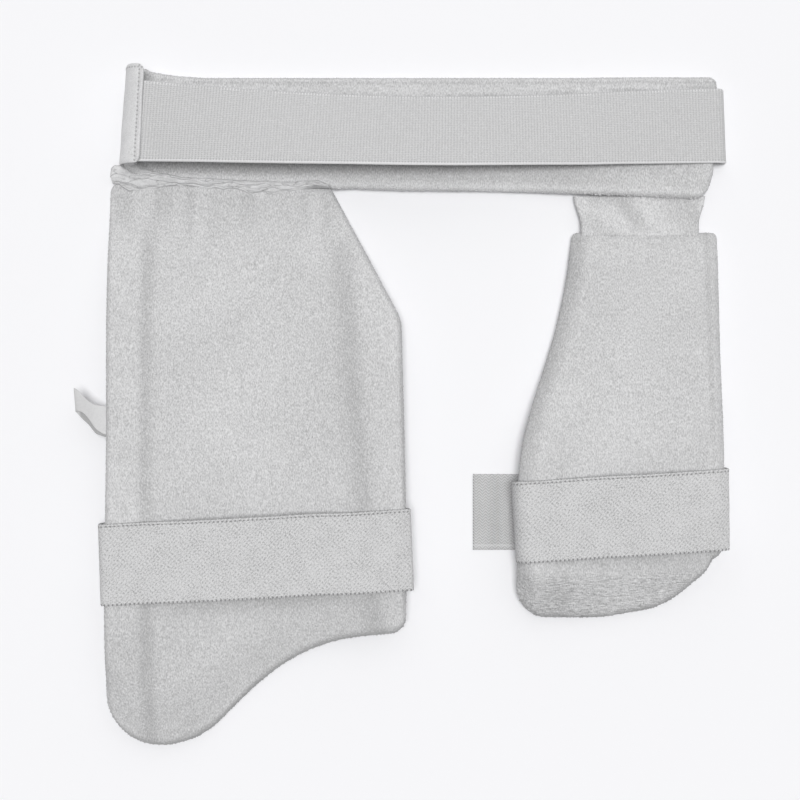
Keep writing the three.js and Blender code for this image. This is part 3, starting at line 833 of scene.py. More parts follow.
@dataclass(frozen=True)
class HerringboneFinish(Finish):
    """Herringbone elastic: zigzag rows, a band of painted shade, and lighter sewn lines along its lower edge.
    """

    slot: Slot = Slot.HERRINGBONE
    shade: float = 0.507
    gap: float = 0.68
    full: float = 1.3
    dim: float = 0.0
    bright: float = 1.6
    depth: float = 0.0003
    roughness: float = 0.85
    specular: float = 0.2
    sheen: float = 0.0
    pitch: float = 0.0021
    zigzag: float = 0.0046
    fluff: float = 0.0009
    patch: float = 0.012
    width: float = 0.055
    # Where the band of painted shade lies along the tail, in metres.
    band: float = 0.0155
    sewn: float = 0.0032

    def weave(self, tree: Tree) -> tuple[Wire, Wire]:
        """The zigzag bends the place across the strap before the rows are read."""
        run, across = tree.cloth_place()
        rows = (across + run.offset(self.zigzag)).rows(self.pitch)
        noise = tree.noise(self.fluff, 2.0)
        # A band of painted shade, where the pad and strap shadow the tail.
        painted_shadow_band = run.apart(self.band).within(0.002, 0.006)
        sewn = across.apart(self.width - self.sewn).within(0.0004, 0.0012)
        edge = run.within(0.0006, 0.0016) * across.rows(self.pitch).within(0.3, 0.8)
        light = rows * 0.8 + noise * 0.6 + tree.noise(self.patch, 2.0) * 0.3
        return light - painted_shadow_band * 0.12 + sewn * 0.4 - edge * 0.8, rows * 0.7 + noise * 0.4


@dataclass(frozen=True)
class SatinFinish(Finish):
    """Bare satin ribbon: long fine floats along it."""

    slot: Slot = Slot.SATIN
    shade: float = 0.595
    gap: float = 0.56
    full: float = 1.04
    dim: float = -1.0
    bright: float = 1.0
    depth: float = 0.00005
    roughness: float = 0.42
    specular: float = 0.5
    thread: float = 0.0009
    patch: float = 0.0015
    back: float = 0.0268

    def weave(self, tree: Tree) -> tuple[Wire, Wire]:
        """Fine rows along the ribbon under a faint noise, and painted shade on the back layer, which lies in
        the front layer's shadow.
        """
        run, across = tree.cloth_place()
        rows = across.rows(self.thread)
        # Painted shade over the back layer's run.
        behind = run.within(self.back - 0.003, self.back + 0.001)
        return rows * 0.3 + tree.noise(self.patch, 2.0) * 0.8 - behind * 1.2, rows


# Padded panels


@dataclass(frozen=True)
class Lanes:
    """The lanes of a grid from one edge of a padded panel to the other: rim, stretch between rims, rim."""

    share: Array
    outward: Array
    fullness: Array

    @classmethod
    def spread(cls, stretch: int, rim: int) -> "Lanes":
        """Even lanes between the rims, and lanes at even angles on each rim.

        Args:
            stretch: how many steps the stretch between the rims has.
            rim: how many steps each rim has.
        Returns:
            For each lane its share of the stretch, how far it lies out on the rim (a cosine) and how much of
            the panel's thickness is left there (a sine).
        """
        turn = np.linspace(0.05, np.pi / 2.0, rim + 1)[:-1]
        share = np.concatenate([np.zeros(rim), np.linspace(0.0, 1.0, stretch + 1), np.ones(rim)])
        middle = np.zeros(stretch + 1)
        outward = np.concatenate([-np.cos(turn), middle, np.cos(turn[::-1])])
        fullness = np.concatenate([np.sin(turn), middle + 1.0, np.sin(turn[::-1])])
        return cls(share, outward, fullness)


@dataclass
class Pile:
    """The loops that stand on a panel's towelling face."""

    seed: int
    spacing: float = 1.6
    size: tuple[float, float, float] = (1.7, 1.15, 0.46)
    lean: tuple[float, float] = (0.1, 0.55)
    spread: float = 0.3
    height_spread: float = 0.25
    low: float = 0.15
    coarse_size: float = 0.1
    coarse_height: float = 1.2
    rim_height: float = 1.6
    seat: float = 0.04

    def grow(
        self, grid: Array, painted_shade: Array, keep: Callable[[Array], Array], coarse: Callable[[Array], Array]
    ) -> Sheet:
        """Loops spread evenly by area, each turned and leaned at random, and higher on the rim.

        Args:
            grid: the face's points, by row and column.
            painted shade: the painted shade at each of them.
            keep: which places carry loops, from their points.
            coarse: how much coarser than usual the loops are there, from 0 to 1.
        Returns:
            All the loops as one mesh.
        """
        random = np.random.default_rng(self.seed)
        side = grid[1:, :-1] - grid[:-1, :-1]
        climb = grid[:-1, 1:] - grid[:-1, :-1]
        area = np.linalg.norm(np.cross(side, climb), axis=-1).ravel()
        total = np.cumsum(area)
        count = int(total[-1] / self.spacing**2)
        marks = (np.arange(count) + random.uniform(0.0, 1.0, count)) * total[-1] / count
        cell = np.clip(np.searchsorted(total, marks), 0, len(area) - 1)
        i, j = np.divmod(cell, grid.shape[1] - 1)
        s, t = random.uniform(0.0, 1.0, (2, count, 1))
        centres = grid[i, j] + side[i, j] * s + climb[i, j] * t
        up = unit(grid_normals(grid)[i, j])
        kept = keep(centres)
        centres, up, i, j = centres[kept], up[kept], i[kept], j[kept]
        count = len(centres)
        heading = unit(np.cross(up, random.normal(size=(count, 3))))
        tip = unit(up + heading * random.uniform(*self.lean, (count, 1)))
        across = unit(np.cross(tip, heading))
        rough = coarse(centres)
        share = 1.0 + self.spread * random.uniform(-1.0, 1.0, (count, 1)) + self.coarse_size * rough[:, None]
        sizes = np.array(self.size) * share
        height = self.low + self.coarse_height * rough + self.rim_height * (1.0 - up[:, 2])
        sizes[:, 2] *= random.uniform(1.0 - self.height_spread, 1.0 + self.height_spread, count) * height
        frames = np.stack([np.cross(across, tip), across, tip], 1)
        centres = centres + up * self.seat * sizes[:, 2:]
        return Sheet.scatter(Bead.tuft(), centres, frames, sizes, painted_shade[i, j])


@dataclass
class Panel:
    """A padded panel: two faces that meet in a rounded rim all round its outline."""

    name: str = "panel"
    rim_side: float = 4.0
    rim_end: float = 4.0
    width: float = 100.0
    depth: float = 9.0
    columns: int = 60
    rows: int = 60
    rim_steps: int = 8
    swell: float = 0.3
    broad: float = 23.0
    fine: float = 6.0
    rim_shade: float = 0.5
    seed: int = 1

    def left(self, y: Array) -> Array:
        """The left edge at a height of the pattern."""
        raise NotImplementedError

    def right(self, y: Array) -> Array:
        """The right edge at a height of the pattern."""
        raise NotImplementedError

    def top(self, reach: Array) -> Array:
        """The upper edge at a distance from the left edge."""
        raise NotImplementedError

    def bottom(self, reach: Array) -> Array:
        """The lower edge at a distance from the left edge."""
        raise NotImplementedError

    def middle(self, x: Array, y: Array) -> Array:
        """The height of the padding's middle above the surface."""
        raise NotImplementedError

    def thickness(self, x: Array, y: Array) -> Array:
        """The padding's thickness: the same all over."""
        return np.full_like(x, self.depth)

    def relief(self, x: Array, y: Array) -> Array:
        """How far the towelling face swells: two sizes of soft unevenness."""
        broad = Unevenness(self.seed, self.broad)(x, y)
        fine = Unevenness(self.seed + 50, self.fine)(x, y)
        return self.swell * (0.7 * broad + 0.45 * fine)

    def painted_shade(self, x: Array, y: Array) -> Array:
        """The painted shade that darkens the towelling face's colour; below zero it is a painted highlight.
        """
        raise NotImplementedError

    def place(self, x: Array, y: Array, height: Array) -> Array:
        """Points at a height above the padding's middle."""
        return np.stack([x, y, self.middle(x, y) + height], -1)

    def share_across(self, reach: Array) -> Array:
        """The share of the stretch between the side rims, at a distance from the left edge."""
        return np.clip((reach - self.rim_side) / (self.width - 2.0 * self.rim_side), 0.0, 1.0)

    def faces(self) -> tuple[Array, Array, Array]:
        """The two faces' grids, and the painted shade on the towelling face.

        Lanes across run from rim to rim, and on each the padding's half thickness is the panel's own times
        the sines of how far the lane lies on the side rim and on the end rim, so all edges are rounded.
        """
        lanes = Lanes.spread(self.columns, self.rim_steps)
        lines = Lanes.spread(self.rows, self.rim_steps)
        reach = self.rim_side * (1.0 + lanes.outward) + lanes.share * (self.width - 2.0 * self.rim_side)
        top = (self.top(reach) - self.rim_end)[:, None]
        bottom = (self.bottom(reach) + self.rim_end)[:, None]
        y = mix(top, bottom, lines.share[None]) - self.rim_end * lines.outward[None]
        start, end = self.left(y) + self.rim_side, self.right(y) - self.rim_side
        x = mix(start, end, lanes.share[:, None]) + self.rim_side * lanes.outward[:, None]
        full = lanes.fullness[:, None] * lines.fullness[None]
        half = self.thickness(x, y) / 2.0
        upper = self.place(x, y, half * full + self.relief(x, y) * full)
        # The rims carry extra painted shade, darker as they turn away from the top, on top of the panel's own
        # painted shade.
        painted_shade = np.clip(self.painted_shade(x, y) + self.rim_shade * (1.0 - full), -1.0, 2.2)
        return upper, self.place(x, y, -half * full), painted_shade

    def covered(self, points: Array) -> Array:
        """Which places on the towelling face lie under a strap or hem, and carry no loops."""
        return np.zeros(len(points), bool)

    def coarse(self, points: Array) -> Array:
        """How coarse the loops are."""
        return np.zeros(len(points))

    def make(self, bench: Bench, node: str, pile: Pile) -> None:
        """Makes the padded panel and the loops on it.

        Args:
            bench: what makes the pieces.
            node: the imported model's node that the panel stands for.
            pile: the loops' sizes.
        """
        upper, lower, painted_shade = self.faces()
        panel = bench.add(self.name, Sheet.shell(upper, lower, painted_shade=painted_shade), Slot.TOWELLING, [node])
        loops = pile.grow(upper, painted_shade, lambda points: ~self.covered(points), self.coarse)
        bench.add(self.name + "_loops", loops, Slot.TOWELLING)


@dataclass
class Belt(Panel):
    """The waist belt: flat but for its left end, which curls up and over."""

    name: str = "belt_towelling"
    left_height: float = 74.3
    right_height: float = 89.0
    flat_length: float = 407.1
    curl_inset: float = 33.8
    curl_radius: float = 14.0
    curl_angle: float = math.radians(132.0)
    curl_skew: float = 4.3
    curl_lean: float = 6.0
    curl_taper: float = 5.0
    upper_corner: float = 6.0
    lower_corner: float = 9.0
    upper_rise: float = 0.8
    right_inset: float = 1.0
    right_slant: float = 2.2
    right_drop: float = 6.0
    end_drop: float = 6.0
    end_reach: float = 14.0
    strap_fold: float = 2.1
    strap_width: float = 57.0
    strap_lead: float = 14.0
    strap_dip: Curve = Curve(
        ((0.0, 0.0), (0.12, 0.055), (0.3, 0.105), (0.5, 0.123), (0.7, 0.09), (0.88, 0.045), (1.0, 0.02))
    )
    return_length: float = 75.0
    strap_slack: float = 4.0
    return_ramp: float = 32.0
    strap_gap: float = 0.5
    sweep: Curve = Curve(((16.0, 0.0), (22.0, 4.6), (27.0, 5.2), (32.0, 4.2), (53.0, 1.2), (70.0, 0.0)))
    sweep_depth: float = 26.0
    lower_rise: Curve = Curve(((0.0, 0.0), (210.0, 0.4), (283.0, 2.1), (330.0, 2.4), (441.0, 2.0)))
    bulge: Line = Line(0.9, 169.0, 6.0)
    seam: Line = Line(0.6, 3.7, 1.1)
    seam_shade: Line = Line(0.9, 3.7, 0.9)
    strap_edge_shadow: Line = Line(1.4, 6.325, 0.8)
    rim_light: float = 1.2
    low_shade: float = 0.55
    low_shade_right: float = 0.2
    shade_fade: tuple[float, float] = (260.0, 110.0)
    fringe_count: int = 170
    columns: int = 230
    rows: int = 40
    seed: int = 3

    def __post_init__(self) -> None:
        """Works out where the belt ends."""
        self.right_end = self.curl_inset + self.flat_length
        self.left_end = self.curl_inset - self.curl_radius * self.curl_angle - self.rim_side
        self.width = self.right_end - self.left_end
        self.return_end = self.right_end + self.strap_slack - self.return_length

    def height_at(self, x: Array | float) -> Array | float:
        """The belt's height, which widens evenly from the curl to its right end."""
        share = np.maximum(0.0, x - self.curl_inset) / self.flat_length
        return mix(self.left_height, self.right_height, share)

    def lift(self, x: Array | float) -> Array | float:
        """How far the folded strap below raises the belt."""
        start = self.return_end - self.return_ramp - self.strap_gap
        return self.strap_fold * rise(x, start, self.return_ramp)

    def left(self, y: Array) -> Array:
        """The curled end's edge."""
        return np.full_like(y, self.left_end)

    def right(self, y: Array) -> Array:
        """The right end's edge, drawn in towards its lower corner."""
        slant = self.right_slant * rise(-y, 30.0, 36.0) + self.right_drop * rise(-y, 64.0, 26.0)
        return self.right_end - self.right_inset - slant

    def top(self, reach: Array) -> Array:
        """A straight edge with a small round corner, which drops at the curled end."""
        drop = self.end_drop * smooth(1.0 - reach / self.end_reach)
        return self.upper_rise - drop - corner_inset(self.width - reach, self.upper_corner)

    def bottom(self, reach: Array) -> Array:
        """The widening edge with a round corner at the right, a small bulge, and a taper at the curl."""
        inset = corner_inset(self.width - reach, self.lower_corner)
        x = self.left_end + reach
        taper = self.curl_taper * smooth((self.curl_inset - 4.0 - x) / 22.0)
        return -self.height_at(x) + self.lower_rise(x) + inset - self.bulge(x) + taper

    def relief(self, x: Array, y: Array) -> Array:
        """Unevenness, and a groove where the rim's seam runs along the upper edge."""
        return super().relief(x, y) - self.seam(-y)

    def painted_shade(self, x: Array, y: Array) -> Array:
        """Painted shade along the upper seam's groove, a painted shadow line beside the strap and painted
        shadow below it, and a painted highlight along the lower rim.
        """
        dip = self.strap_dip((x - self.curl_inset + self.strap_lead) / self.flat_length)
        # A thin painted shadow line where the strap's upper edge lies close to the belt.
        line = self.strap_edge_shadow(-y - dip * self.strap_width) * rise(x, 60.0, 30.0)
        right = rise(x, *self.shade_fade)
        # Below zero along the lower rim: a painted highlight, the rim lit brighter than the face.
        rim = self.rim_light * rise(self.bottom(x - self.left_end) - y, -9.0, 7.0)
        # Painted shadow of the strap over the belt's lower part, weaker towards the right.
        painted_shadow_band = mix(self.low_shade, self.low_shade_right, right) * rise(-y, 55.0, 12.0)
        return self.seam_shade(-y) + line + painted_shadow_band - rim * (1.0 - 0.5 * right)

    def fringe(self, bench: Bench) -> None:
        """Loose loops along the lower edge, which hang over the neck."""
        random = np.random.default_rng(self.seed)
        count = self.fringe_count
        x = random.uniform(self.right_end - 104.0, self.right_end - 14.0, count)
        y = self.bottom(x - self.left_end) + random.uniform(-0.4, 1.6, count)
        z = self.depth / 2.0 + self.lift(x) + random.uniform(1.2, 3.2, count)
        ahead = unit(stacked(random.normal(0.0, 0.35, count), -1.0, -0.15))
        sizes = stacked(random.uniform(1.6, 3.6, count), 0.7, 0.6)
        bench.sew("belt_fringe", stacked(x, y, z), lying(ahead), sizes)

    def curl_point(self, angle: Array, radius: Array, y: Array) -> Array:
        """A point on the curl: an angle from straight down round its centre, drawn up and leaning over."""
        share = smooth(angle / self.curl_angle)
        x = self.curl_inset - radius * np.sin(angle) + self.curl_lean * share * (y / self.left_height + 0.5)
        z = self.depth / 2.0 + self.curl_radius - radius * np.cos(angle)
        return stacked(x, y + self.curl_skew * share, z)

    def place(self, x: Array, y: Array, height: Array) -> Array:
        """Flat at the right of the curl's inset and round the curl at its left, the upper edge drawn up."""
        y = y + self.sweep(x) * smooth(1.0 + y / self.sweep_depth)
        flat = np.stack([x, y, self.depth / 2.0 + self.lift(x) + height], -1)
        angle = (self.curl_inset - x) / self.curl_radius
        curled = self.curl_point(angle, self.curl_radius - height, y)
        return np.where((x >= self.curl_inset)[..., None], flat, curled)

    def covered(self, points: Array) -> Array:
        """Under the waist strap, away from its two edges, and under the hem."""
        x, y, z = points.T
        under_strap = (y < -13.0) & (y > -57.0) & (x > 20.0)
        under_hem = (y < -self.left_height + 4.0) & (x < 160.0) & (z < 12.0)
        near_strap = (y < -7.0) & (y > -68.0) & (x > 330.0)
        return under_strap | under_hem | near_strap

    def coarse(self, points: Array) -> Array:
        """Coarser along the lower edge."""
        return np.clip(1.0 - (points[:, 1] + self.height_at(points[:, 0])) / 14.0, 0.0, 1.0)


@dataclass
class ThighPad(Panel):
    """What the two thigh pads share: a trough between two creases, and the straps that raise them."""

    corner: float = 0.0
    length: float = 300.0
    strap_y: float = 0.0
    full_thickness: float = 16.0
    top_thickness: float = 10.0
    foot_thickness: float = 8.0
    hem_width: float = 0.0
    top_taper: float = 30.0
    foot_taper: float = 40.0
    left_corner: float = 20.0
    right_corner: float = 10.0
    trough_depth: float = 10.0
    trough: Curve = Curve(((0.0, 0.0), (1.0, 1.0)))
    lower_edge: Curve = Curve(((0.0, 1.0), (1.0, 1.0)))
    climb: float = 2.1
    climb_margin: float = 9.0
    strap_width: float = 58.0
    strap_slope: float = 0.0
    crease_softness: float = 0.17
    shade_reach: float = 9.0
    low_shade: float = 0.3
    low_span: tuple[float, float] = (0.6, 0.3)
    strap_dark: float = 0.85
    # Painted shade along the lower rim, whose side turns down away from the light.
    foot_shade: Line = Line(1.9, 0.0, 3.2)
    coarse_reach: float = 20.0

    def down(self, y: Array) -> Array:
        """The share of the pad's length, from its top."""
        return (self.corner - y) / self.length

    def creases(self, y: Array) -> tuple[Array, Array]:
        """Where the two creases run, at a height of the pattern."""
        raise NotImplementedError

    def reach_at(self, x: Array, y: Array) -> Array:
        """The distance from the left edge that a place would have on a pad of full width."""
        raise NotImplementedError

    def from_top(self, x: Array, y: Array) -> Array:
        """How far below its upper edge a place lies."""
        return self.corner - y

    def from_bottom(self, x: Array, y: Array) -> Array:
        """How far above its lower edge a place lies."""
        return y - self.bottom(self.reach_at(x, y))

    def bottom(self, reach: Array) -> Array:
        """The lower edge's curve with both corners rounded."""
        level = self.corner - self.lower_edge(self.share_across(reach)) * self.length
        level = level + corner_inset(reach, self.left_corner)
        return level + corner_inset(self.width - reach, self.right_corner)

    def thickness(self, x: Array, y: Array) -> Array:
        """Full but for thinner stretches at the top and along the lower edge."""
        share = rise(self.from_top(x, y), self.hem_width, self.top_taper)
        upper = mix(self.top_thickness, self.full_thickness, share)
        return mix(self.foot_thickness, upper, smooth(self.from_bottom(x, y) / self.foot_taper))

    def strap_climb(self, y: Array) -> Array:
        """How far the straps below raise the pad, falling to nothing past their edges."""
        past = np.abs(y - self.strap_y) - self.strap_width / 2.0 - self.climb_margin
        return self.climb * (1.0 - smooth(past / self.strap_width))

    def under(self, x: Array, y: Array) -> Array:
        """The underside's height: level in the middle, rising as a square to the creases, level past them.

        The straps below raise the whole of it.
        """
        left, right = self.creases(y)
        middle, half = (left + right) / 2.0, (right - left) / 2.0
        share = rounded_least(((x - middle) / half) ** 2, 1.0, self.crease_softness)
        return share * self.trough_depth * self.trough(self.down(y)) + self.strap_climb(y)

    def middle(self, x: Array, y: Array) -> Array:
        """Half the padding above its underside."""
        return self.under(x, y) + self.thickness(x, y) / 2.0

    def strap_middle(self, x: Array) -> Array:
        """The strap's middle line over the pad."""
        middle = np.array(self.strap_y)
        return self.strap_y + self.strap_slope * (x - (self.left(middle) + self.right(middle)) / 2.0)

    def strap_shade(self, x: Array, y: Array) -> Array:
        """The soft shade below the strap where it spans the trough, from 0 to 1, fading over its reach."""
        left, right = self.creases(y)
        side = np.clip(((2.0 * x - left - right) / (right - left)) ** 2, 0.0, 1.0)
        drop = self.strap_middle(x) - self.strap_width / 2.0 - y
        return (1.0 - side) * bump(np.maximum(drop, 0.0), self.shade_reach) * rise(drop, -4.0, 3.0)

    def low_painted_shade(self, x: Array, y: Array) -> Array:
        """Painted shade darker towards the bottom, a painted shadow below the strap, and painted shade on the
        lower rim.
        """
        low = self.low_shade * rise(self.down(y), *self.low_span) + self.strap_dark * self.strap_shade(x, y)
        return low + self.foot_shade(self.from_bottom(x, y))

    def covered(self, points: Array) -> Array:
        """Under the thigh strap."""
        apart = np.abs(points[:, 1] - self.strap_middle(points[:, 0]))
        return apart < self.strap_width / 2.0 + 0.6

    def coarse(self, points: Array) -> Array:
        """Coarser along the lower edge."""
        return np.clip(1.0 - self.from_bottom(points[:, 0], points[:, 1]) / self.coarse_reach, 0.0, 1.0)


@dataclass
class OuterPad(ThighPad):
    """The long outer pad, with a lobe at its lower left and a slanted shoulder at its upper right."""

    name: str = "outer_pad_towelling"
    belt: Belt = field(default_factory=Belt)
    width: float = 218.0
    length: float = 407.0
    top_width: float = 159.5
    full_thickness: float = 15.5
    top_thickness: float = 9.0
    foot_thickness: float = 8.5
    hem_width: float = 14.0
    top_taper: float = 45.0
    foot_taper: float = 48.0
    rim_side: float = 4.5
    rim_end: float = 6.0
    trough_depth: float = 12.0
    upper_corner: float = 8.0
    left_corner: float = 36.0
    right_corner: float = 11.0
    left_wing: float = 31.5
    side_inset: float = 2.0
    flank_inset: float = 0.4
    foot_inset: float = 2.4
    strap_slope: float = 0.049
    coarse_reach: float = 22.0
    groove_lines: tuple[Line, Line] = (Line(2.3, 0.0, 4.4), Line(2.0, 0.0, 7.0))
    groove_shades: tuple[Line, Line] = (Line(0.95, 0.0, 4.8), Line(0.95, 0.0, 9.0))
    pucker_depth: float = 0.8
    pucker_shade: float = 0.8
    pucker_spacing: float = 7.5
    columns: int = 100
    rows: int = 176
    seed: int = 11
    lower_edge: Curve = Curve(
        (
            *((0.0, 0.994), (0.18, 0.998), (0.25, 0.991), (0.33, 0.971), (0.41, 0.933), (0.5, 0.89)),
            *((0.6, 0.852), (0.7, 0.8255), (0.8, 0.809), (0.9, 0.8005), (1.0, 0.7955)),
        )
    )
    trough: Curve = Curve(((0.03, 0.0), (0.28, 1.0), (0.76, 1.0), (1.0, 0.25)))
    shoulder_end: float = 0.246
    shoulder_share: float = 0.976
    shoulder_softness: float = 0.014
    crease_top: float = 0.749
    crease_bottom: float = 0.917

    def left(self, y: Array) -> Array:
        """A nearly straight edge."""
        return self.side_inset * (1.0 - 0.6 * rise(self.down(y), 0.45, 0.4))

    def right(self, y: Array) -> Array:
        """A slanted shoulder that meets a nearly straight flank, drawn in at its foot."""
        down = self.down(y)
        shoulder = mix(self.top_width, self.shoulder_share * self.width, down / self.shoulder_end)
        below = (down - self.shoulder_end) / (1.0 - 2.0 * self.shoulder_end)
        flank = mix(self.shoulder_share, 1.0, below) * self.width
        foot = self.flank_inset + self.foot_inset * rise(down, 0.66, 0.12)
        return rounded_least(shoulder, flank, self.shoulder_softness * self.width) - foot

    def top(self, reach: Array) -> Array:
        """The belt's lower edge, which the pad follows, with a round corner below the hem."""
        drop = self.belt.height_at(reach * self.top_width / self.width) - self.belt.height_at(0.0)
        return self.corner - drop - corner_inset(reach, self.upper_corner)

    def creases(self, y: Array) -> tuple[Array, Array]:
        """One crease beside the left wing, and one that runs outwards towards the bottom."""
        right = mix(self.crease_top, self.crease_bottom, self.down(y)) * self.width
        return np.full_like(y, self.left_wing), right

    def reach_at(self, x: Array, y: Array) -> Array:
        """In the same share of the width that the place has between the edges."""
        return np.clip(x / self.right(y), 0.0, 1.0) * self.width

    def from_top(self, x: Array, y: Array) -> Array:
        """Below the edge that follows the belt."""
        return self.top(self.reach_at(x, y)) - y

    def grooves(self, x: Array, y: Array, lines: tuple[Line, Line]) -> Array:
        """Lines along the two creases, which fade in below the hem."""
        left, right = self.creases(y)
        return (lines[0](x - left) + lines[1](x - right)) * rise(self.from_top(x, y), 18.0, 40.0)

    def puckers(self, x: Array, y: Array) -> tuple[Array, Array]:
        """Upright unevenness below the hem, and its share, which fades downwards."""
        upright = Unevenness(self.seed + 70, self.pucker_spacing)(x, y * 0.16)
        return upright, 1.0 - rise(self.from_top(x, y), 12.0, 42.0)

    def relief(self, x: Array, y: Array) -> Array:
        """Unevenness, a groove along each crease, and upright puckers below the hem."""
        upright, share = self.puckers(x, y)
        puckers = self.pucker_depth * share * upright
        return super().relief(x, y) - self.grooves(x, y, self.groove_lines) + puckers

    def painted_shade(self, x: Array, y: Array) -> Array:
        """Painted shade along the creases, in the puckers' hollows and in the lower part, and a painted
        shadow below the strap.
        """
        upright, share = self.puckers(x, y)
        # Painted shade in the hollows of the puckers.
        pucker = self.pucker_shade * np.clip(-upright, 0.0, 1.0) * share
        return self.grooves(x, y, self.groove_shades) + pucker + self.low_painted_shade(x, y)

    def covered(self, points: Array) -> Array:
        """Under the thigh strap, and under the hem."""
        under_hem = (points[:, 1] > self.corner - 7.0) & (points[:, 0] < self.top_width + 4.0)
        return super().covered(points) | under_hem


@dataclass
class InnerPad(ThighPad):
    """The shorter inner pad, whose left side swings out and whose lower edge sweeps up to the right."""

    name: str = "inner_pad_towelling"
    width: float = 149.5
    length: float = 279.0
    right_edge: float = 441.4
    full_thickness: float = 16.5
    top_thickness: float = 11.0
    foot_thickness: float = 8.0
    top_taper: float = 26.0
    foot_taper: float = 34.0
    rim_side: float = 7.5
    rim_end: float = 6.5
    trough_depth: float = 8.5
    upper_corner: float = 4.0
    left_corner: float = 23.0
    right_corner: float = 10.0
    left_wing: float = 34.0
    side_inset: float = 1.1
    side_lean: float = 2.0
    climb: float = 3.85
    strap_slope: float = 0.064
    low_shade: float = 0.1
    low_span: tuple[float, float] = (0.76, 0.15)
    strap_dark: float = 0.5
    foot_shade: Line = Line(1.5, 0.0, 3.0)
    right_seam: Line = Line(0.8, 8.5, 1.8)
    right_seam_shade: Line = Line(0.7, 8.5, 1.8)
    left_seam: Line = Line(0.5, 14.0, 3.0)
    groove_line: Line = Line(1.4, 0.0, 6.0)
    groove_shade: Line = Line(0.5, 0.0, 8.0)
    left_bevel: float = 3.6
    right_bevel: float = 2.0
    bevel_shade: float = 0.85
    columns: int = 70
    rows: int = 124
    seed: int = 17
    left_side: Curve = Curve(
        (
            *((0.0, 0.286), (0.12, 0.255), (0.25, 0.204), (0.36, 0.142), (0.46, 0.08), (0.56, 0.033)),
            *((0.66, 0.016), (0.85, 0.014), (1.0, 0.012)),
        )
    )
    lower_edge: Curve = Curve(
        (
            *((0.0, 0.994), (0.38, 0.995), (0.55, 0.984), (0.68, 0.972), (0.79, 0.947), (0.9, 0.9035)),
            *((0.97, 0.87), (1.0, 0.842)),
        )
    )
    trough: Curve = Curve(((0.3, 0.0), (0.58, 1.0), (0.84, 1.0), (1.0, 0.2)))

    def left(self, y: Array) -> Array:
        """The side that swings out towards the bottom."""
        swing = self.left_side(np.clip(self.down(y), 0.0, 1.0))
        return self.right_edge - self.width * (1.0 - swing) + self.side_inset

    def right(self, y: Array) -> Array:
        """An edge that leans out a little towards the bottom."""
        return self.right_edge - self.side_inset + self.side_lean * smooth(self.down(y) / 0.4)

    def top(self, reach: Array) -> Array:
        """A level edge with round corners."""
        sides = corner_inset(reach, self.upper_corner) + corner_inset(self.width - reach, self.upper_corner)
        return self.corner - sides

    def creases(self, y: Array) -> tuple[Array, Array]:
        """One crease beside the left wing, and the other along the right rim."""
        left = self.right_edge - self.width + self.left_wing
        return np.full_like(y, left), np.full_like(y, self.right_edge - self.rim_side)

    def reach_at(self, x: Array, y: Array) -> Array:
        """In the same share of the width that the place has between the edges."""
        left = self.left(y)
        return np.clip((x - left) / (self.right_edge - left), 0.0, 1.0) * self.width

    def low_half(self, y: Array) -> Array:
        """A smooth step from 0 to 1 below the pad's middle."""
        return rise(self.down(y), 0.45, 0.2)

    def relief(self, x: Array, y: Array) -> Array:
        """Unevenness, a broad bevel at the left, a narrow one at the right, and a groove by the wing."""
        left, right = x - self.left(y), self.right(y) - x
        bevel = self.left_bevel * (1.0 - rise(left, 1.0, 12.0))
        bevel = bevel + self.right_bevel * (1.0 - rise(right, 1.0, 8.0))
        groove = self.groove_line(x - self.creases(y)[0]) * self.low_half(y)
        return super().relief(x, y) - bevel - self.right_seam(right) + self.left_seam(left) - groove

    def painted_shade(self, x: Array, y: Array) -> Array:
        """Painted shade on the left bevel, along the seam by the right rim and on the lower rim, and a
        painted shadow below the strap.
        """
        left, right = x - self.left(y), self.right(y) - x
        sides = self.bevel_shade * (1.0 - rise(left, 3.0, 10.0)) + self.right_seam_shade(right)
        groove = self.groove_shade(x - self.creases(y)[0]) * self.low_half(y)
        return sides * (1.0 - 0.6 * self.low_half(y)) + groove + self.low_painted_shade(x, y)


@dataclass
class Neck(Panel):
    """The towelling flap that joins the inner pad to the belt."""

    name: str = "neck_towelling"
    top_width: float = 95.0
    width: float = 85.0
    right_edge: float = 426.9
    upper: float = -87.8
    lower: float = -112.0
    upper_middle: float = 6.6
    lower_middle: float = 5.5
    depth: float = 4.0
    rim_side: float = 1.8
    rim_end: float = 1.8
    columns: int = 60
    rows: int = 20
    seed: int = 29
    swell: float = 1.1

    def painted_shade(self, x: Array, y: Array) -> Array:
        """Painted shade of soft slanting folds; below zero, a painted highlight."""
        return 1.1 * np.clip(Unevenness(31, 15.0)(x + 0.8 * y, y * 0.6 - 0.2 * x), -0.4, 1.0)

    def down(self, y: Array) -> Array:
        """The share of the way from the belt to the pad."""
        return np.clip((self.upper - y) / (self.upper - self.lower), 0.0, 1.0)

    def spread(self, y: Array) -> Array:
        """How much further out each side lies towards the belt."""
        return (self.top_width - self.width) / 2.0 * (1.0 - smooth(self.down(y) * 1.4))

    def left(self, y: Array) -> Array:
        """The left side, which flares towards the belt."""
        return self.right_edge - self.width - self.spread(y)

    def right(self, y: Array) -> Array:
        """The right side, which flares towards the belt."""
        return self.right_edge + self.spread(y)

    def top(self, reach: Array) -> Array:
        """The seam with the belt."""
        return np.full_like(reach, self.upper)

    def bottom(self, reach: Array) -> Array:
        """The seam with the pad."""
        return np.full_like(reach, self.lower)

    def middle(self, x: Array, y: Array) -> Array:
        """From the belt's middle down to the pad's."""
        return mix(self.upper_middle, self.lower_middle, self.down(y))


# Straps and other bands


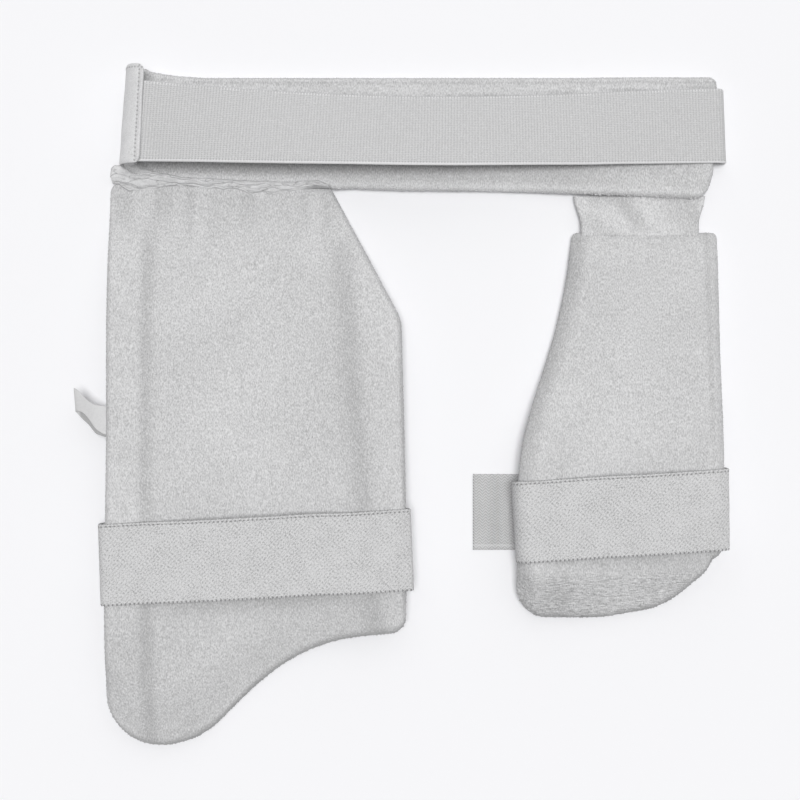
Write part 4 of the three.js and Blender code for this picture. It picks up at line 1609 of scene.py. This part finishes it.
@dataclass
class Band:
    """The lanes across a flat woven band with rounded edges."""

    columns: int
    bunching: float = 0.75
    edge_share: float = 0.12

    def across(self) -> tuple[Array, Array]:
        """The lanes across the band from 0 to 1, closer together at its edges, and each lane's fullness."""
        even = np.linspace(0.0, 1.0, self.columns)
        share = mix(even, (1.0 - np.cos(np.pi * even)) / 2.0, self.bunching)
        thin = 1.0 - smooth(np.minimum(share, 1.0 - share) * 60.0)
        return share, np.sqrt(1.0 - (1.0 - self.edge_share) * thin)

    def surface(self, top: Array, bottom: Array, closed: bool = False) -> tuple[Array, Array]:
        """The band's middle surface and its normals.

        Args:
            top, bottom: points of its two edges, station by station.
            closed: whether its end meets its start.
        Returns:
            Middle points by station and lane, and unit normals.
        """
        middle = mix(top[:, None], bottom[:, None], self.across()[0][None, :, None])
        if not closed:
            return middle, grid_normals(middle)
        return middle, grid_normals(np.concatenate([middle[-1:], middle, middle[:1]]))[1:-1]


@dataclass
class ThighStrap:
    """A brushed elastic loop that goes right round its pad."""

    name: str
    node: str
    pad: ThighPad
    slack: float
    shift: float
    lean: tuple[float, float]
    width: float = 58.0
    thickness: float = 1.6
    gap: float = 0.5
    pitch: float = 3.05
    picot: float = 0.55
    cord: Line = Line(0.25, 1.1, 0.7)
    top_furrow: Line = Line(0.3, 2.6, 0.5)
    low_furrow: Line = Line(0.25, 1.6, 0.6)
    samples: int = 6
    columns: int = 26

    def section_cloud(self) -> Array:
        """Points of the pad's cross-sections along the strap's width and a little past it."""
        pad, rim = self.pad, self.pad.rim_side
        turn = np.linspace(0.0, np.pi, 13)
        clouds = []
        for place in np.linspace(-0.6, 0.6, 7) * self.width:
            y = np.array(pad.strap_y + place)
            left, right = pad.left(y), pad.right(y)
            x = np.linspace(left + rim, right - rim, 60)
            under = pad.under(x, y)
            clouds.append(stacked(x, under))
            clouds.append(stacked(x, under + pad.thickness(x, y)))
            for edge, inwards in ((left, 1.0), (right, -1.0)):
                x = edge + inwards * rim * (1.0 - np.sin(turn))
                half = pad.thickness(edge + inwards * rim, y) / 2.0
                clouds.append(stacked(x, pad.middle(x, y) + half * np.cos(turn)))
            level = pad.middle(right, y) + pad.thickness(right, y) / 2.0 - rim / 2.0
            clouds.append(np.array([[right + self.slack, level]]))
        return np.concatenate(clouds)

    def path(self) -> Array:
        """The loop's line in x and z: the convex outline of the pad's sections, grown by a circle."""
        turn = 2.0 * np.pi * np.arange(24) / 24
        circle = (self.gap + self.thickness / 2.0) * np.stack([np.cos(turn), np.sin(turn)], 1)
        grown = (self.section_cloud()[:, None] + circle[None]).reshape(-1, 2)
        outline = grown[convex_hull_2d(grown.tolist())]
        x, z = outline.T
        area = np.sum(x * np.roll(z, -1) - np.roll(x, -1) * z)
        return outline[::-1] if area > 0.0 else outline

    def stations(self) -> tuple[Array, float]:
        """The loop's middle line as evenly spaced points, from its underside's middle, and its length."""
        outline = self.path()
        x, z = outline.T
        start = int(np.argmin(np.where(z < np.median(z), np.abs(x - x.mean()), np.inf)))
        outline = np.roll(outline, -start, axis=0)
        closed = np.concatenate([outline, outline[:1]])
        reach = along(closed)
        count = round(reach[-1] / self.pitch) * self.samples
        points = resample(closed, reach, np.arange(count) * reach[-1] / count)
        for _ in range(6):
            points = (np.roll(points, 1, axis=0) + 2.0 * points + np.roll(points, -1, axis=0)) / 4.0
        return points, reach[-1]

    def make(self, bench: Bench) -> None:
        """The loop as a wall with a plain cord along its upper edge and picots along its lower one."""
        line, length = self.stations()
        run = np.arange(len(line) + 1) * length / len(line)
        x, z = line.T
        centre = self.pad.strap_middle(x) + 0.35 * Unevenness(41, 30.0)(run[:-1])
        scallop = self.picot * (ridge(run[:-1] / self.pitch) - 0.5)
        lean = mix(self.lean[0], self.lean[1], (x - x.min()) / np.ptp(x)) / 2.0
        high = stacked(x + self.shift - lean, centre + self.width / 2.0, z)
        low = stacked(x + self.shift + lean, centre - self.width / 2.0 - scallop, z)
        band = Band(self.columns)
        middle, normal = band.surface(high, low, closed=True)
        share, full = band.across()
        depth = share * self.width
        bumps = self.cord(depth) - self.top_furrow(depth) - self.low_furrow(self.width - depth)
        bumps = bumps[None] + 0.12 * Unevenness(43, 3.0)(run[:-1, None], depth[None])
        half = self.thickness / 2.0 * full[None]
        upper = middle + normal * (half + bumps * full[None])[..., None]
        lower = middle - normal * half[..., None]
        sheet = Sheet.shell(upper, lower, stacked(run[:, None], depth[None]), closed=True)
        bench.add(self.name, sheet, Slot.BRUSHED, [self.node])


@dataclass
class EndTab:
    """The smooth facing on the belt's curled end, with a stitched edge."""

    belt: Belt
    thickness: float = 1.6
    layer_gap: float = 0.35
    start: float = math.radians(62.0)
    end: float = math.radians(163.0)
    corner: float = 4.0
    free_corner: float = 5.0
    stitch: float = 2.9
    fold: Line = Line(0.6, 0.9, 0.8)
    furrow: Line = Line(0.4, 3.3, 0.5)
    hang: Curve = Curve(((1.0, 2.9), (1.55, 2.6), (2.2, 1.4), (2.6, 0.6), (2.85, -0.4)))
    reach_down: float = 1.8
    low_rise: float = 1.0
    splay: tuple[float, float] = (0.028, 0.088)
    steps: int = 90
    columns: int = 60

    def radius(self) -> float:
        """The radius of the facing's middle round the curl."""
        return self.belt.curl_radius + self.belt.depth / 2.0 + self.layer_gap + self.thickness / 2.0

    def turned(self, angle: Array, share: Array) -> Array:
        """The angle round the curl, drawn out towards the free edge and more so at the bottom."""
        return self.start + (angle - self.start) * (1.0 + mix(self.splay[0], self.splay[1], share))

    def make(self, bench: Bench) -> None:
        """A wall round the curl with a raised fold along its free edge, and a row of stitches inside it."""
        belt, radius = self.belt, self.radius()
        angle = np.linspace(self.start, self.end, self.steps)
        run = (angle - self.start) * radius
        from_end = run[-1] - run
        share, full = Band(self.columns).across()
        inset = corner_inset(from_end, self.free_corner) + corner_inset(run, self.corner)
        foot = belt.curl_taper - belt.left_height - self.reach_down + self.low_rise * rise(angle, 1.9, 0.8)
        depth = -mix(-inset[:, None], (foot + inset)[:, None], share[None])
        y = self.hang(angle)[:, None] - depth
        raised = self.fold(from_end) - self.furrow(from_end)
        half = self.thickness / 2.0 * full[None] * rounded_end(np.minimum(run, from_end), 0.8, 0.02)[:, None]
        middle = radius + 0.25 * Unevenness(71, 11.0)(run[:, None], y)
        turned = self.turned(angle[:, None], share[None])
        outer = belt.curl_point(turned, middle + half + raised[:, None] * full[None], y)
        inner = belt.curl_point(turned, middle - half, y)
        sheet = Sheet.shell(outer, inner, stacked(run[:, None], depth))
        bench.add("end_facing", sheet, Slot.FACING, ["belt_end_tab"])
        self.sew(bench, run[-1])

    def sew(self, bench: Bench, length: float) -> None:
        """Stitches along the free edge and along the top, each lying on the facing."""
        belt, radius = self.belt, self.radius()
        down = np.arange(-6.0, -belt.left_height + 10.0, -self.stitch)
        turn = self.start + (length - self.furrow.inset) / radius
        edge_turn = self.turned(turn, -down / belt.left_height)
        edge = belt.curl_point(edge_turn, radius + 0.95, down + self.hang(turn))
        round_turn = self.start + np.arange(6.0, length - 4.0, self.stitch) / radius
        flat = self.hang(round_turn) - 2.3
        top_turn = self.turned(round_turn, -flat / belt.left_height)
        top = belt.curl_point(top_turn, radius + 0.85, flat)
        ahead = np.concatenate([unit(np.gradient(line, axis=0)) for line in (edge, top)])
        turns = np.concatenate([edge_turn, top_turn])
        up = stacked(-np.sin(turns), 0.0, -np.cos(turns))
        frames = np.stack([ahead, unit(np.cross(up, ahead)), up], 1)
        sizes = np.tile([self.stitch * 0.8, 0.55, 0.4], (len(turns), 1))
        bench.sew("facing_stitches", np.concatenate([edge, top]), frames, sizes)


@dataclass
class WaistStrap:
    """The ribbed elastic over the belt: sewn in the curl, twisted a little, folded round the right end."""

    tab: EndTab
    width: float = 57.0
    thickness: float = 1.6
    top_inset: float = 7.1
    gap: float = 0.5
    rib: float = 2.13
    samples: int = 6
    columns: int = 22
    seam_gap: float = 0.3
    fold_lean: float = 1.0
    low_bead: Line = Line(0.28, 0.8, 0.75)
    top_bead: Line = Line(0.1, 0.7, 0.6)
    rib_height: float = 0.09
    bow: float = 1.1
    sway: float = 0.5
    bottom_edge: Curve = Curve(
        ((0.0, 0.0), (0.12, -0.012), (0.3, -0.028), (0.5, -0.036), (0.7, -0.012), (0.88, 0.02), (1.0, 0.042))
    )
    top_lift: Curve = Curve(
        ((0.0, 1.0), (0.12, 0.74), (0.3, 0.33), (0.5, 0.06), (0.7, 0.0), (0.88, 0.0), (1.0, 0.0))
    )
    bottom_lift: Curve = Curve(
        ((0.0, 1.0), (0.12, 1.03), (0.3, 1.0), (0.5, 0.86), (0.7, 0.53), (0.88, 0.17), (1.0, 0.0))
    )

    def rest_height(self, x: Array | float) -> Array | float:
        """The strap's height where it lies on the belt."""
        belt = self.tab.belt
        return belt.depth + belt.lift(x) + self.gap + self.thickness / 2.0

    def sewn(self, y: float) -> Array:
        """One edge of the arc that is sewn between the belt's end and the facing."""
        tab, belt = self.tab, self.tab.belt
        radius = tab.radius() - tab.thickness / 2.0 - tab.layer_gap - self.thickness / 2.0
        start = belt.curl_angle + (belt.rim_side + 2.0 * self.seam_gap) / belt.curl_radius
        return belt.curl_point(np.linspace(start, tab.end, 24), radius, y - belt.curl_skew)

    def edges(self) -> tuple[Array, Array]:
        """The strap's two edges: the sewn arc, the twisted run, the fold and the return below the belt."""
        belt, behind = self.tab.belt, self.thickness / 2.0
        top_y = -self.top_inset
        bottom_y = top_y - self.width
        high, low = self.sewn(top_y), self.sewn(bottom_y)
        fold_radius = (self.rest_height(belt.right_end) - behind) / 2.0
        fold_x = belt.right_end + belt.strap_slack - fold_radius
        lifted = high[-1, 2] - self.rest_height(high[-1, 0])
        t = np.linspace(0.0, 1.0, 300)[1:]
        turn = np.linspace(0.0, np.pi, 24)[1:]
        fold = stacked(fold_x + fold_radius * np.sin(turn), behind + fold_radius * (1.0 + np.cos(turn)))
        back = stacked(np.linspace(fold_x, belt.return_end, 40)[1:], behind)
        line = np.concatenate([fold, back])

        def edge(arc: Array, y: Array, lift: Array, lean: float) -> Array:
            """One whole edge, from its sewn arc on."""
            x = mix(arc[-1, 0], fold_x + lean, t)
            front = stacked(x, y, self.rest_height(x) + lifted * lift)
            return np.concatenate([arc, front, stacked(line[:, 0] + lean, y[-1], line[:, 1])])

        upper = edge(high, top_y - belt.strap_dip(t) * self.width, self.top_lift(t), -self.fold_lean)
        lower = edge(low, bottom_y + self.bottom_edge(t) * self.width, self.bottom_lift(t), self.fold_lean)
        return upper, lower

    def make(self, bench: Bench) -> None:
        """The strap as a wall whose ribs stand across its run, with a bead along each edge."""
        top, bottom = self.edges()
        reach = along((top + bottom) / 2.0)
        ribs = round(reach[-1] / self.rib)
        places = np.linspace(0.0, reach[-1], ribs * self.samples + 1)
        band = Band(self.columns)
        middle, normal = band.surface(resample(top, reach, places), resample(bottom, reach, places))
        share, full = band.across()
        depth = share * self.width
        from_low = self.width - depth
        fold = reach[-1] - self.tab.belt.return_length - 30.0
        front = smooth(places / 30.0) * smooth((fold - places) / 60.0)
        sway = self.sway * Unevenness(61, 37.0)(places[:, None], depth[None])
        bow = self.bow * np.sin(np.pi * share)[None] + sway
        bead = self.low_bead(from_low) + self.top_bead(depth)
        inner = rise(from_low, 1.4, 0.8) * smooth(depth / 0.8)
        rib = self.rib_height * (ridge(places / (reach[-1] / ribs)) - 0.5)
        raised = rib[:, None] * inner[None] + bead[None]
        half = self.thickness / 2.0
        bow = bow * front[:, None]
        upper = middle + normal * (bow + (half + raised) * full[None])[..., None]
        lower = middle + normal * (bow - half * full[None])[..., None]
        sheet = Sheet.shell(upper, lower, stacked(places[:, None], depth[None]))
        bench.add("waist_elastic", sheet, Slot.RIBBED, ["waist_strap"])


@dataclass
class Hem:
    """The gathered binding over the seam between the belt and the outer pad: folded cloth, sewn on."""

    belt: Belt
    pad: OuterPad
    upper_edge: Curve = Curve(
        (
            *((3.0, -71.0), (4.4, -64.6), (7.5, -62.8), (14.0, -62.5), (23.0, -64.4), (39.0, -68.1)),
            *((59.0, -71.7), (75.0, -72.2), (111.0, -74.2), (132.0, -74.6), (150.0, -73.5), (161.5, -77.9)),
        )
    )
    lower_edge: Curve = Curve(
        (
            *((3.0, -72.0), (4.3, -75.8), (8.7, -76.9), (12.0, -79.8), (16.5, -81.4), (24.0, -81.4)),
            *((43.0, -78.2), (59.0, -77.2), (70.0, -79.2), (94.0, -80.3), (106.0, -84.5), (134.0, -82.1)),
            *((152.0, -78.6), (161.5, -79.2)),
        )
    )
    bulk: Curve = Curve(((3.0, 2.4), (12.0, 3.0), (35.0, 1.6), (80.0, 1.2), (130.0, 1.1), (161.5, 0.8)))
    folds: Curve = Curve(((3.0, 2.2), (20.0, 3.2), (45.0, 2.4), (90.0, 1.8), (161.5, 2.2)))
    gap: float = 0.3
    step: float = 1.3
    edge: float = 1.1
    sink: float = 0.9
    stitch: float = 2.7
    furrow: Line = Line(0.6, 1.3, 0.45)
    pucker: Line = Line(0.7, 1.3, 2.6)
    stations: int = 620
    lanes: int = 56

    def height(self, x: Array, y: Array, lane: Array, span: Array) -> Array:
        """The cloth's height above its seat: overlapping folds, puckers and a sewn furrow, with round edges.

        Each fold rises slowly and drops steeply, like cloth that laps over the next fold.
        """
        wander = 0.8 * Unevenness(83, 24.0)(x) + 0.3 * Unevenness(85, 8.0)(x)
        phase = self.folds(x) * lane + wander + 0.12 * Unevenness(86, 4.0)(x, y)
        part = phase - np.floor(phase)
        lap = self.step * (smooth(part / 0.85) - rise(part, 0.9, 0.1))
        round_edge = rounded_end(np.minimum(lane, 1.0 - lane) * span, self.edge, 0.02)
        from_low = (1.0 - lane) * span
        pucker = self.pucker(from_low) * Unevenness(84, 3.0)(x, y * 0.35)
        fine = 0.3 * Unevenness(87, 2.2)(x * 0.5, y)
        low_side = mix(1.0, 0.55, smooth(lane * 2.0 - 1.0))
        return (self.bulk(x) + lap + fine + pucker - self.furrow(from_low)) * round_edge * low_side

    def sink_at(self, x: Array) -> Array:
        """How far the lower edge is sunk into the pad's pile, most at the right, where the two merge."""
        return self.sink + 1.5 * rise(x, 118.0, 28.0)

    def seat(self, x: Array, y: Array) -> Array:
        """Just above the higher of the belt and the pad."""
        pad_height = self.pad.under(x, y) + self.pad.thickness(x, y)
        return np.maximum(pad_height, self.belt.depth) + self.gap

    def make(self, bench: Bench) -> None:
        """The folded cloth between the two edges, and the stitches along the lower one."""
        first, last = self.upper_edge.rows[0][0], self.upper_edge.rows[-1][0]
        x = mix(first, last, np.linspace(0.0, 1.0, self.stations) ** 1.35)[:, None]
        lane = Band(self.lanes).across()[0][None]
        top = self.upper_edge(x) + 0.3 * Unevenness(88, 5.0)(x)
        bottom = self.lower_edge(x) + 0.4 * Unevenness(89, 2.4)(x) + 0.4 * Unevenness(90, 6.0)(x)
        y = mix(top, bottom, lane)
        sunk = self.seat(x, bottom) - self.sink_at(x) * smooth(lane * 3.0 - 2.0)
        upper = stacked(x, y, sunk + self.height(x, y, lane, top - bottom))
        bench.add("hem_binding", Sheet.shell(upper, stacked(x, y, sunk)), Slot.BINDING, ["pad_top_hem"])
        self.sew(bench)

    def sew(self, bench: Bench) -> None:
        """Stitches in the sewn furrow, each turned along the edge."""
        line_x = np.linspace(self.lower_edge.rows[3][0], self.lower_edge.rows[-2][0], 2000)
        inset = self.furrow.inset
        line = stacked(line_x, self.lower_edge(line_x) + inset)
        reach = along(line)
        x, y = resample(line, reach, np.arange(1.0, reach[-1], self.stitch)).T
        span = self.upper_edge(x) - self.lower_edge(x)
        height = self.height(x, y, 1.0 - inset / span, span) + 0.15 - self.sink_at(x)
        centres = stacked(x, y, self.seat(x, y - inset) + height)
        sizes = np.tile([self.stitch * 0.72, 0.5, 0.4], (len(x), 1))
        bench.sew("hem_stitches", centres, lying(unit(np.gradient(centres, axis=0))), sizes)


@dataclass
class StrapTail:
    """The loose herringbone end of the inner strap, which shows beside the pad."""

    pad: InnerPad
    width: float = 55.0
    thickness: float = 1.4
    shown: float = 31.0
    hidden: float = 132.0
    raised: float = 1.0
    end: float = 1.2
    columns: int = 40

    def make(self, bench: Bench) -> None:
        """A flat wall that lies on the surface and runs on below the pad."""
        middle = np.array(self.pad.strap_y)
        run = np.concatenate([np.linspace(0.0, self.end, 6), np.linspace(2.0, self.shown + self.hidden, 160)])
        run = run[:, None]
        share, full = Band(self.columns).across()
        depth = share[None] * self.width
        x = self.pad.left(middle) - self.shown + run
        y = middle + self.raised + self.width / 2.0 - depth
        full = full[None] * rounded_end(run, self.end, 0.03)
        half = self.thickness / 2.0
        upper = stacked(x, y, half + (half + 0.1 * Unevenness(91, 4.0)(x, y)) * full)
        sheet = Sheet.shell(upper, stacked(x, y, half - half * full), stacked(run, depth))
        bench.add("strap_tail", sheet, Slot.HERRINGBONE, ["inner_strap_tail"])


@dataclass
class SideLabel:
    """The bare satin loop in the outer pad's left seam: a front and a back layer that meet in a fold."""

    pad: OuterPad
    thickness: float = 0.5
    opening: float = 4.0
    root: float = 3.6
    fold_top: float = -21.1
    fold_bottom: float = -19.8
    width: float = 18.0
    lag: float = 0.8
    front_top: Curve = Curve(
        ((-22.7, -222.6), (-18.6, -224.6), (-12.9, -230.6), (-6.0, -235.2), (0.6, -236.3))
    )
    front_bottom: Curve = Curve(
        ((-20.4, -239.6), (-15.5, -240.6), (-11.2, -244.4), (-5.0, -252.8), (0.6, -256.6))
    )
    back_bottom: Curve = Curve(
        ((-20.4, -239.8), (-15.7, -245.2), (-10.7, -250.0), (-5.7, -256.0), (0.6, -258.4))
    )
    steps: int = 36
    columns: int = 30

    def make(self, bench: Bench) -> None:
        """One strip: out from the seam, round the fold and back, each lane between the layers' two edges."""
        seam = self.pad.middle(np.array(0.0), np.array(self.front_top.rows[0][1]))
        share, full = Band(self.columns).across()
        turn = np.linspace(0.0, np.pi / 2.0, self.steps)[:, None]
        x = mix(mix(self.fold_top, self.fold_bottom, share)[None], self.root, 1.0 - np.sin(turn))
        height = np.cos(turn) ** 0.6 * mix(0.35, 1.0, share[None]) * self.opening / 2.0
        front = mix(self.front_top(x), self.front_bottom(x), share[None])
        back = mix(self.front_top(x) - self.lag, self.back_bottom(x), share[None])
        level = seam + 0.8 * np.sin(turn)
        middle = np.concatenate([stacked(x, back, level - height), stacked(x, front, level + height)[-2::-1]])
        half = grid_normals(middle) * (self.thickness / 2.0 * full)[None, :, None]
        uv = stacked(along(middle[:, 0])[:, None], share[None] * self.width)
        bench.add("label_ribbon", Sheet.shell(middle + half, middle - half, uv), Slot.SATIN, ["side_label"])


# Studio


@dataclass
class Studio:
    """A pale floor, soft light and a camera straight above, as in the photograph."""

    view_width: float = 0.576
    view_distance: float = 1.1
    camera_place: tuple[float, float, float] = (-0.0007, 0.0064, 1.11)
    sensor: float = 36.0
    floor_size: float = 30.0
    floor_drop: float = 0.0003
    floor_colour: tuple[float, float, float] = (0.925, 0.925, 0.943)
    sky: float = 0.2
    suns: Sequence[tuple[float, float, float]] = ((2.0, 1.0, 24.0), (0.72, 42.0, 80.0))
    turn: float = -12.0

    def make(self) -> None:
        """Sets up the camera, the sky, the lights (strength, tilt and spread in degrees) and the floor."""
        scene = bpy.context.scene
        scene.view_settings.view_transform = "Standard"
        lens = bpy.data.cameras.new("camera")
        lens.sensor_width = self.sensor
        lens.lens = self.sensor * self.view_distance / self.view_width
        lens.clip_start = 0.01
        camera = bpy.data.objects.new("camera", lens)
        camera.location = self.camera_place
        scene.collection.objects.link(camera)
        scene.camera = camera
        world = bpy.data.worlds.new("studio")
        world.use_nodes = True
        background = world.node_tree.nodes["Background"]
        background.inputs["Color"].default_value = (1.0, 1.0, 1.0, 1.0)
        background.inputs["Strength"].default_value = self.sky
        scene.world = world
        for number, (strength, tilt, spread) in enumerate(self.suns):
            sun = bpy.data.lights.new(f"light_{number}", "SUN")
            sun.energy = strength
            sun.angle = math.radians(spread)
            light = bpy.data.objects.new(sun.name, sun)
            light.rotation_euler = (-math.radians(tilt), 0.0, math.radians(self.turn))
            scene.collection.objects.link(light)
        self.lay_floor()

    def lay_floor(self) -> None:
        """One large square just below the guard."""
        half = self.floor_size / 2.0
        mesh = bpy.data.meshes.new("floor")
        corners = [(-half, -half), (half, -half), (half, half), (-half, half)]
        mesh.from_pydata([(x, y, -self.floor_drop) for x, y in corners], [], [(0, 1, 2, 3)])
        shader = {"Base Color": (*self.floor_colour, 1.0), "Roughness": 1.0, "Specular IOR Level": 0.0}
        mesh.materials.append(Tree("floor").close(shader))
        floor = bpy.data.objects.new("floor", mesh)
        bpy.context.scene.collection.objects.link(floor)


@dataclass
class ThighGuard:
    """The whole guard, whose pieces take their places from one another."""

    seam_gap: float = 0.3
    neck_length: float = 24.3
    neck_inset: float = 14.5
    belt_lap: float = 2.5
    pad_lap: float = 3.5
    neck_sink: float = 0.9
    neck_drop: float = 1.8
    inner_overhang: float = 0.5
    outer_strap_drop: float = 269.0
    inner_strap_drop: float = 203.0
    belt: Belt = field(default_factory=Belt)

    def __post_init__(self) -> None:
        """Works out where the pads and the neck lie."""
        belt = self.belt
        corner = -float(belt.height_at(0.0)) - self.seam_gap
        self.outer = OuterPad(corner=corner, strap_y=corner - self.outer_strap_drop, belt=belt)
        right = belt.right_end + self.inner_overhang
        self.inner = inner = InnerPad(right_edge=right)
        below_belt = -float(belt.height_at(right - inner.width / 2.0))
        inner.corner = below_belt - 2.0 * self.seam_gap - self.neck_length
        inner.strap_y = inner.corner - self.inner_strap_drop
        self.neck = neck = Neck(right_edge=right - self.neck_inset)
        neck.upper = self.belt_lap - float(belt.height_at(neck.right_edge - neck.width / 2.0))
        neck.lower = inner.corner - self.pad_lap
        neck.upper_middle = belt.depth / 2.0 + float(belt.lift(neck.right_edge)) - self.neck_drop
        neck.lower_middle = inner.top_thickness - neck.depth / 2.0 - self.neck_sink

    def site(self) -> Site:
        """Where the layout lies: the belt's right end and the facing's top edge are known in both frames."""
        belt_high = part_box("waist_belt")[1]
        tab_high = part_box("belt_end_tab")[1]
        x = belt_high.x / MILLIMETRE - self.belt.right_end
        return Site(x, tab_high.y / MILLIMETRE - self.belt.curl_skew)

    def make(self, bench: Bench) -> None:
        """Makes every piece, from the belt down."""
        self.belt.make(bench, "waist_belt", Pile(seed=101))
        self.belt.fringe(bench)
        self.outer.make(bench, "outer_thigh_pad", Pile(seed=102))
        self.inner.make(bench, "inner_thigh_pad", Pile(seed=103))
        self.neck.make(bench, "inner_pad_neck", Pile(seed=104))
        Hem(self.belt, self.outer).make(bench)
        tab = EndTab(self.belt)
        tab.make(bench)
        WaistStrap(tab).make(bench)
        outer = ThighStrap("outer_elastic", "outer_thigh_strap", self.outer, 3.0, -1.6, (1.8, 2.6))
        outer.make(bench)
        inner = ThighStrap("inner_elastic", "inner_thigh_strap", self.inner, 1.6, -0.6, (3.4, 0.6))
        inner.make(bench)
        StrapTail(self.inner).make(bench)
        SideLabel(self.outer).make(bench)


def corners(bounds: Sequence[Sequence[float]]) -> list[list[float]]:
    """A box's two corners as plain lists."""
    return [[float(value) for value in corner] for corner in bounds]


def main() -> None:
    """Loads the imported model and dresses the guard."""
    logging.basicConfig(level=logging.INFO, format="%(message)s")
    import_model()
    Studio().make()
    finishes = (
        *(TowellingFinish(), BindingFinish(), FacingFinish(), RibbedFinish()),
        *(BrushedFinish(), HerringboneFinish(), SatinFinish()),
    )
    guard = ThighGuard()
    bench = Bench(guard.site(), {finish.slot: finish.build() for finish in finishes})
    guard.make(bench)


if __name__ == "__main__":
    main()
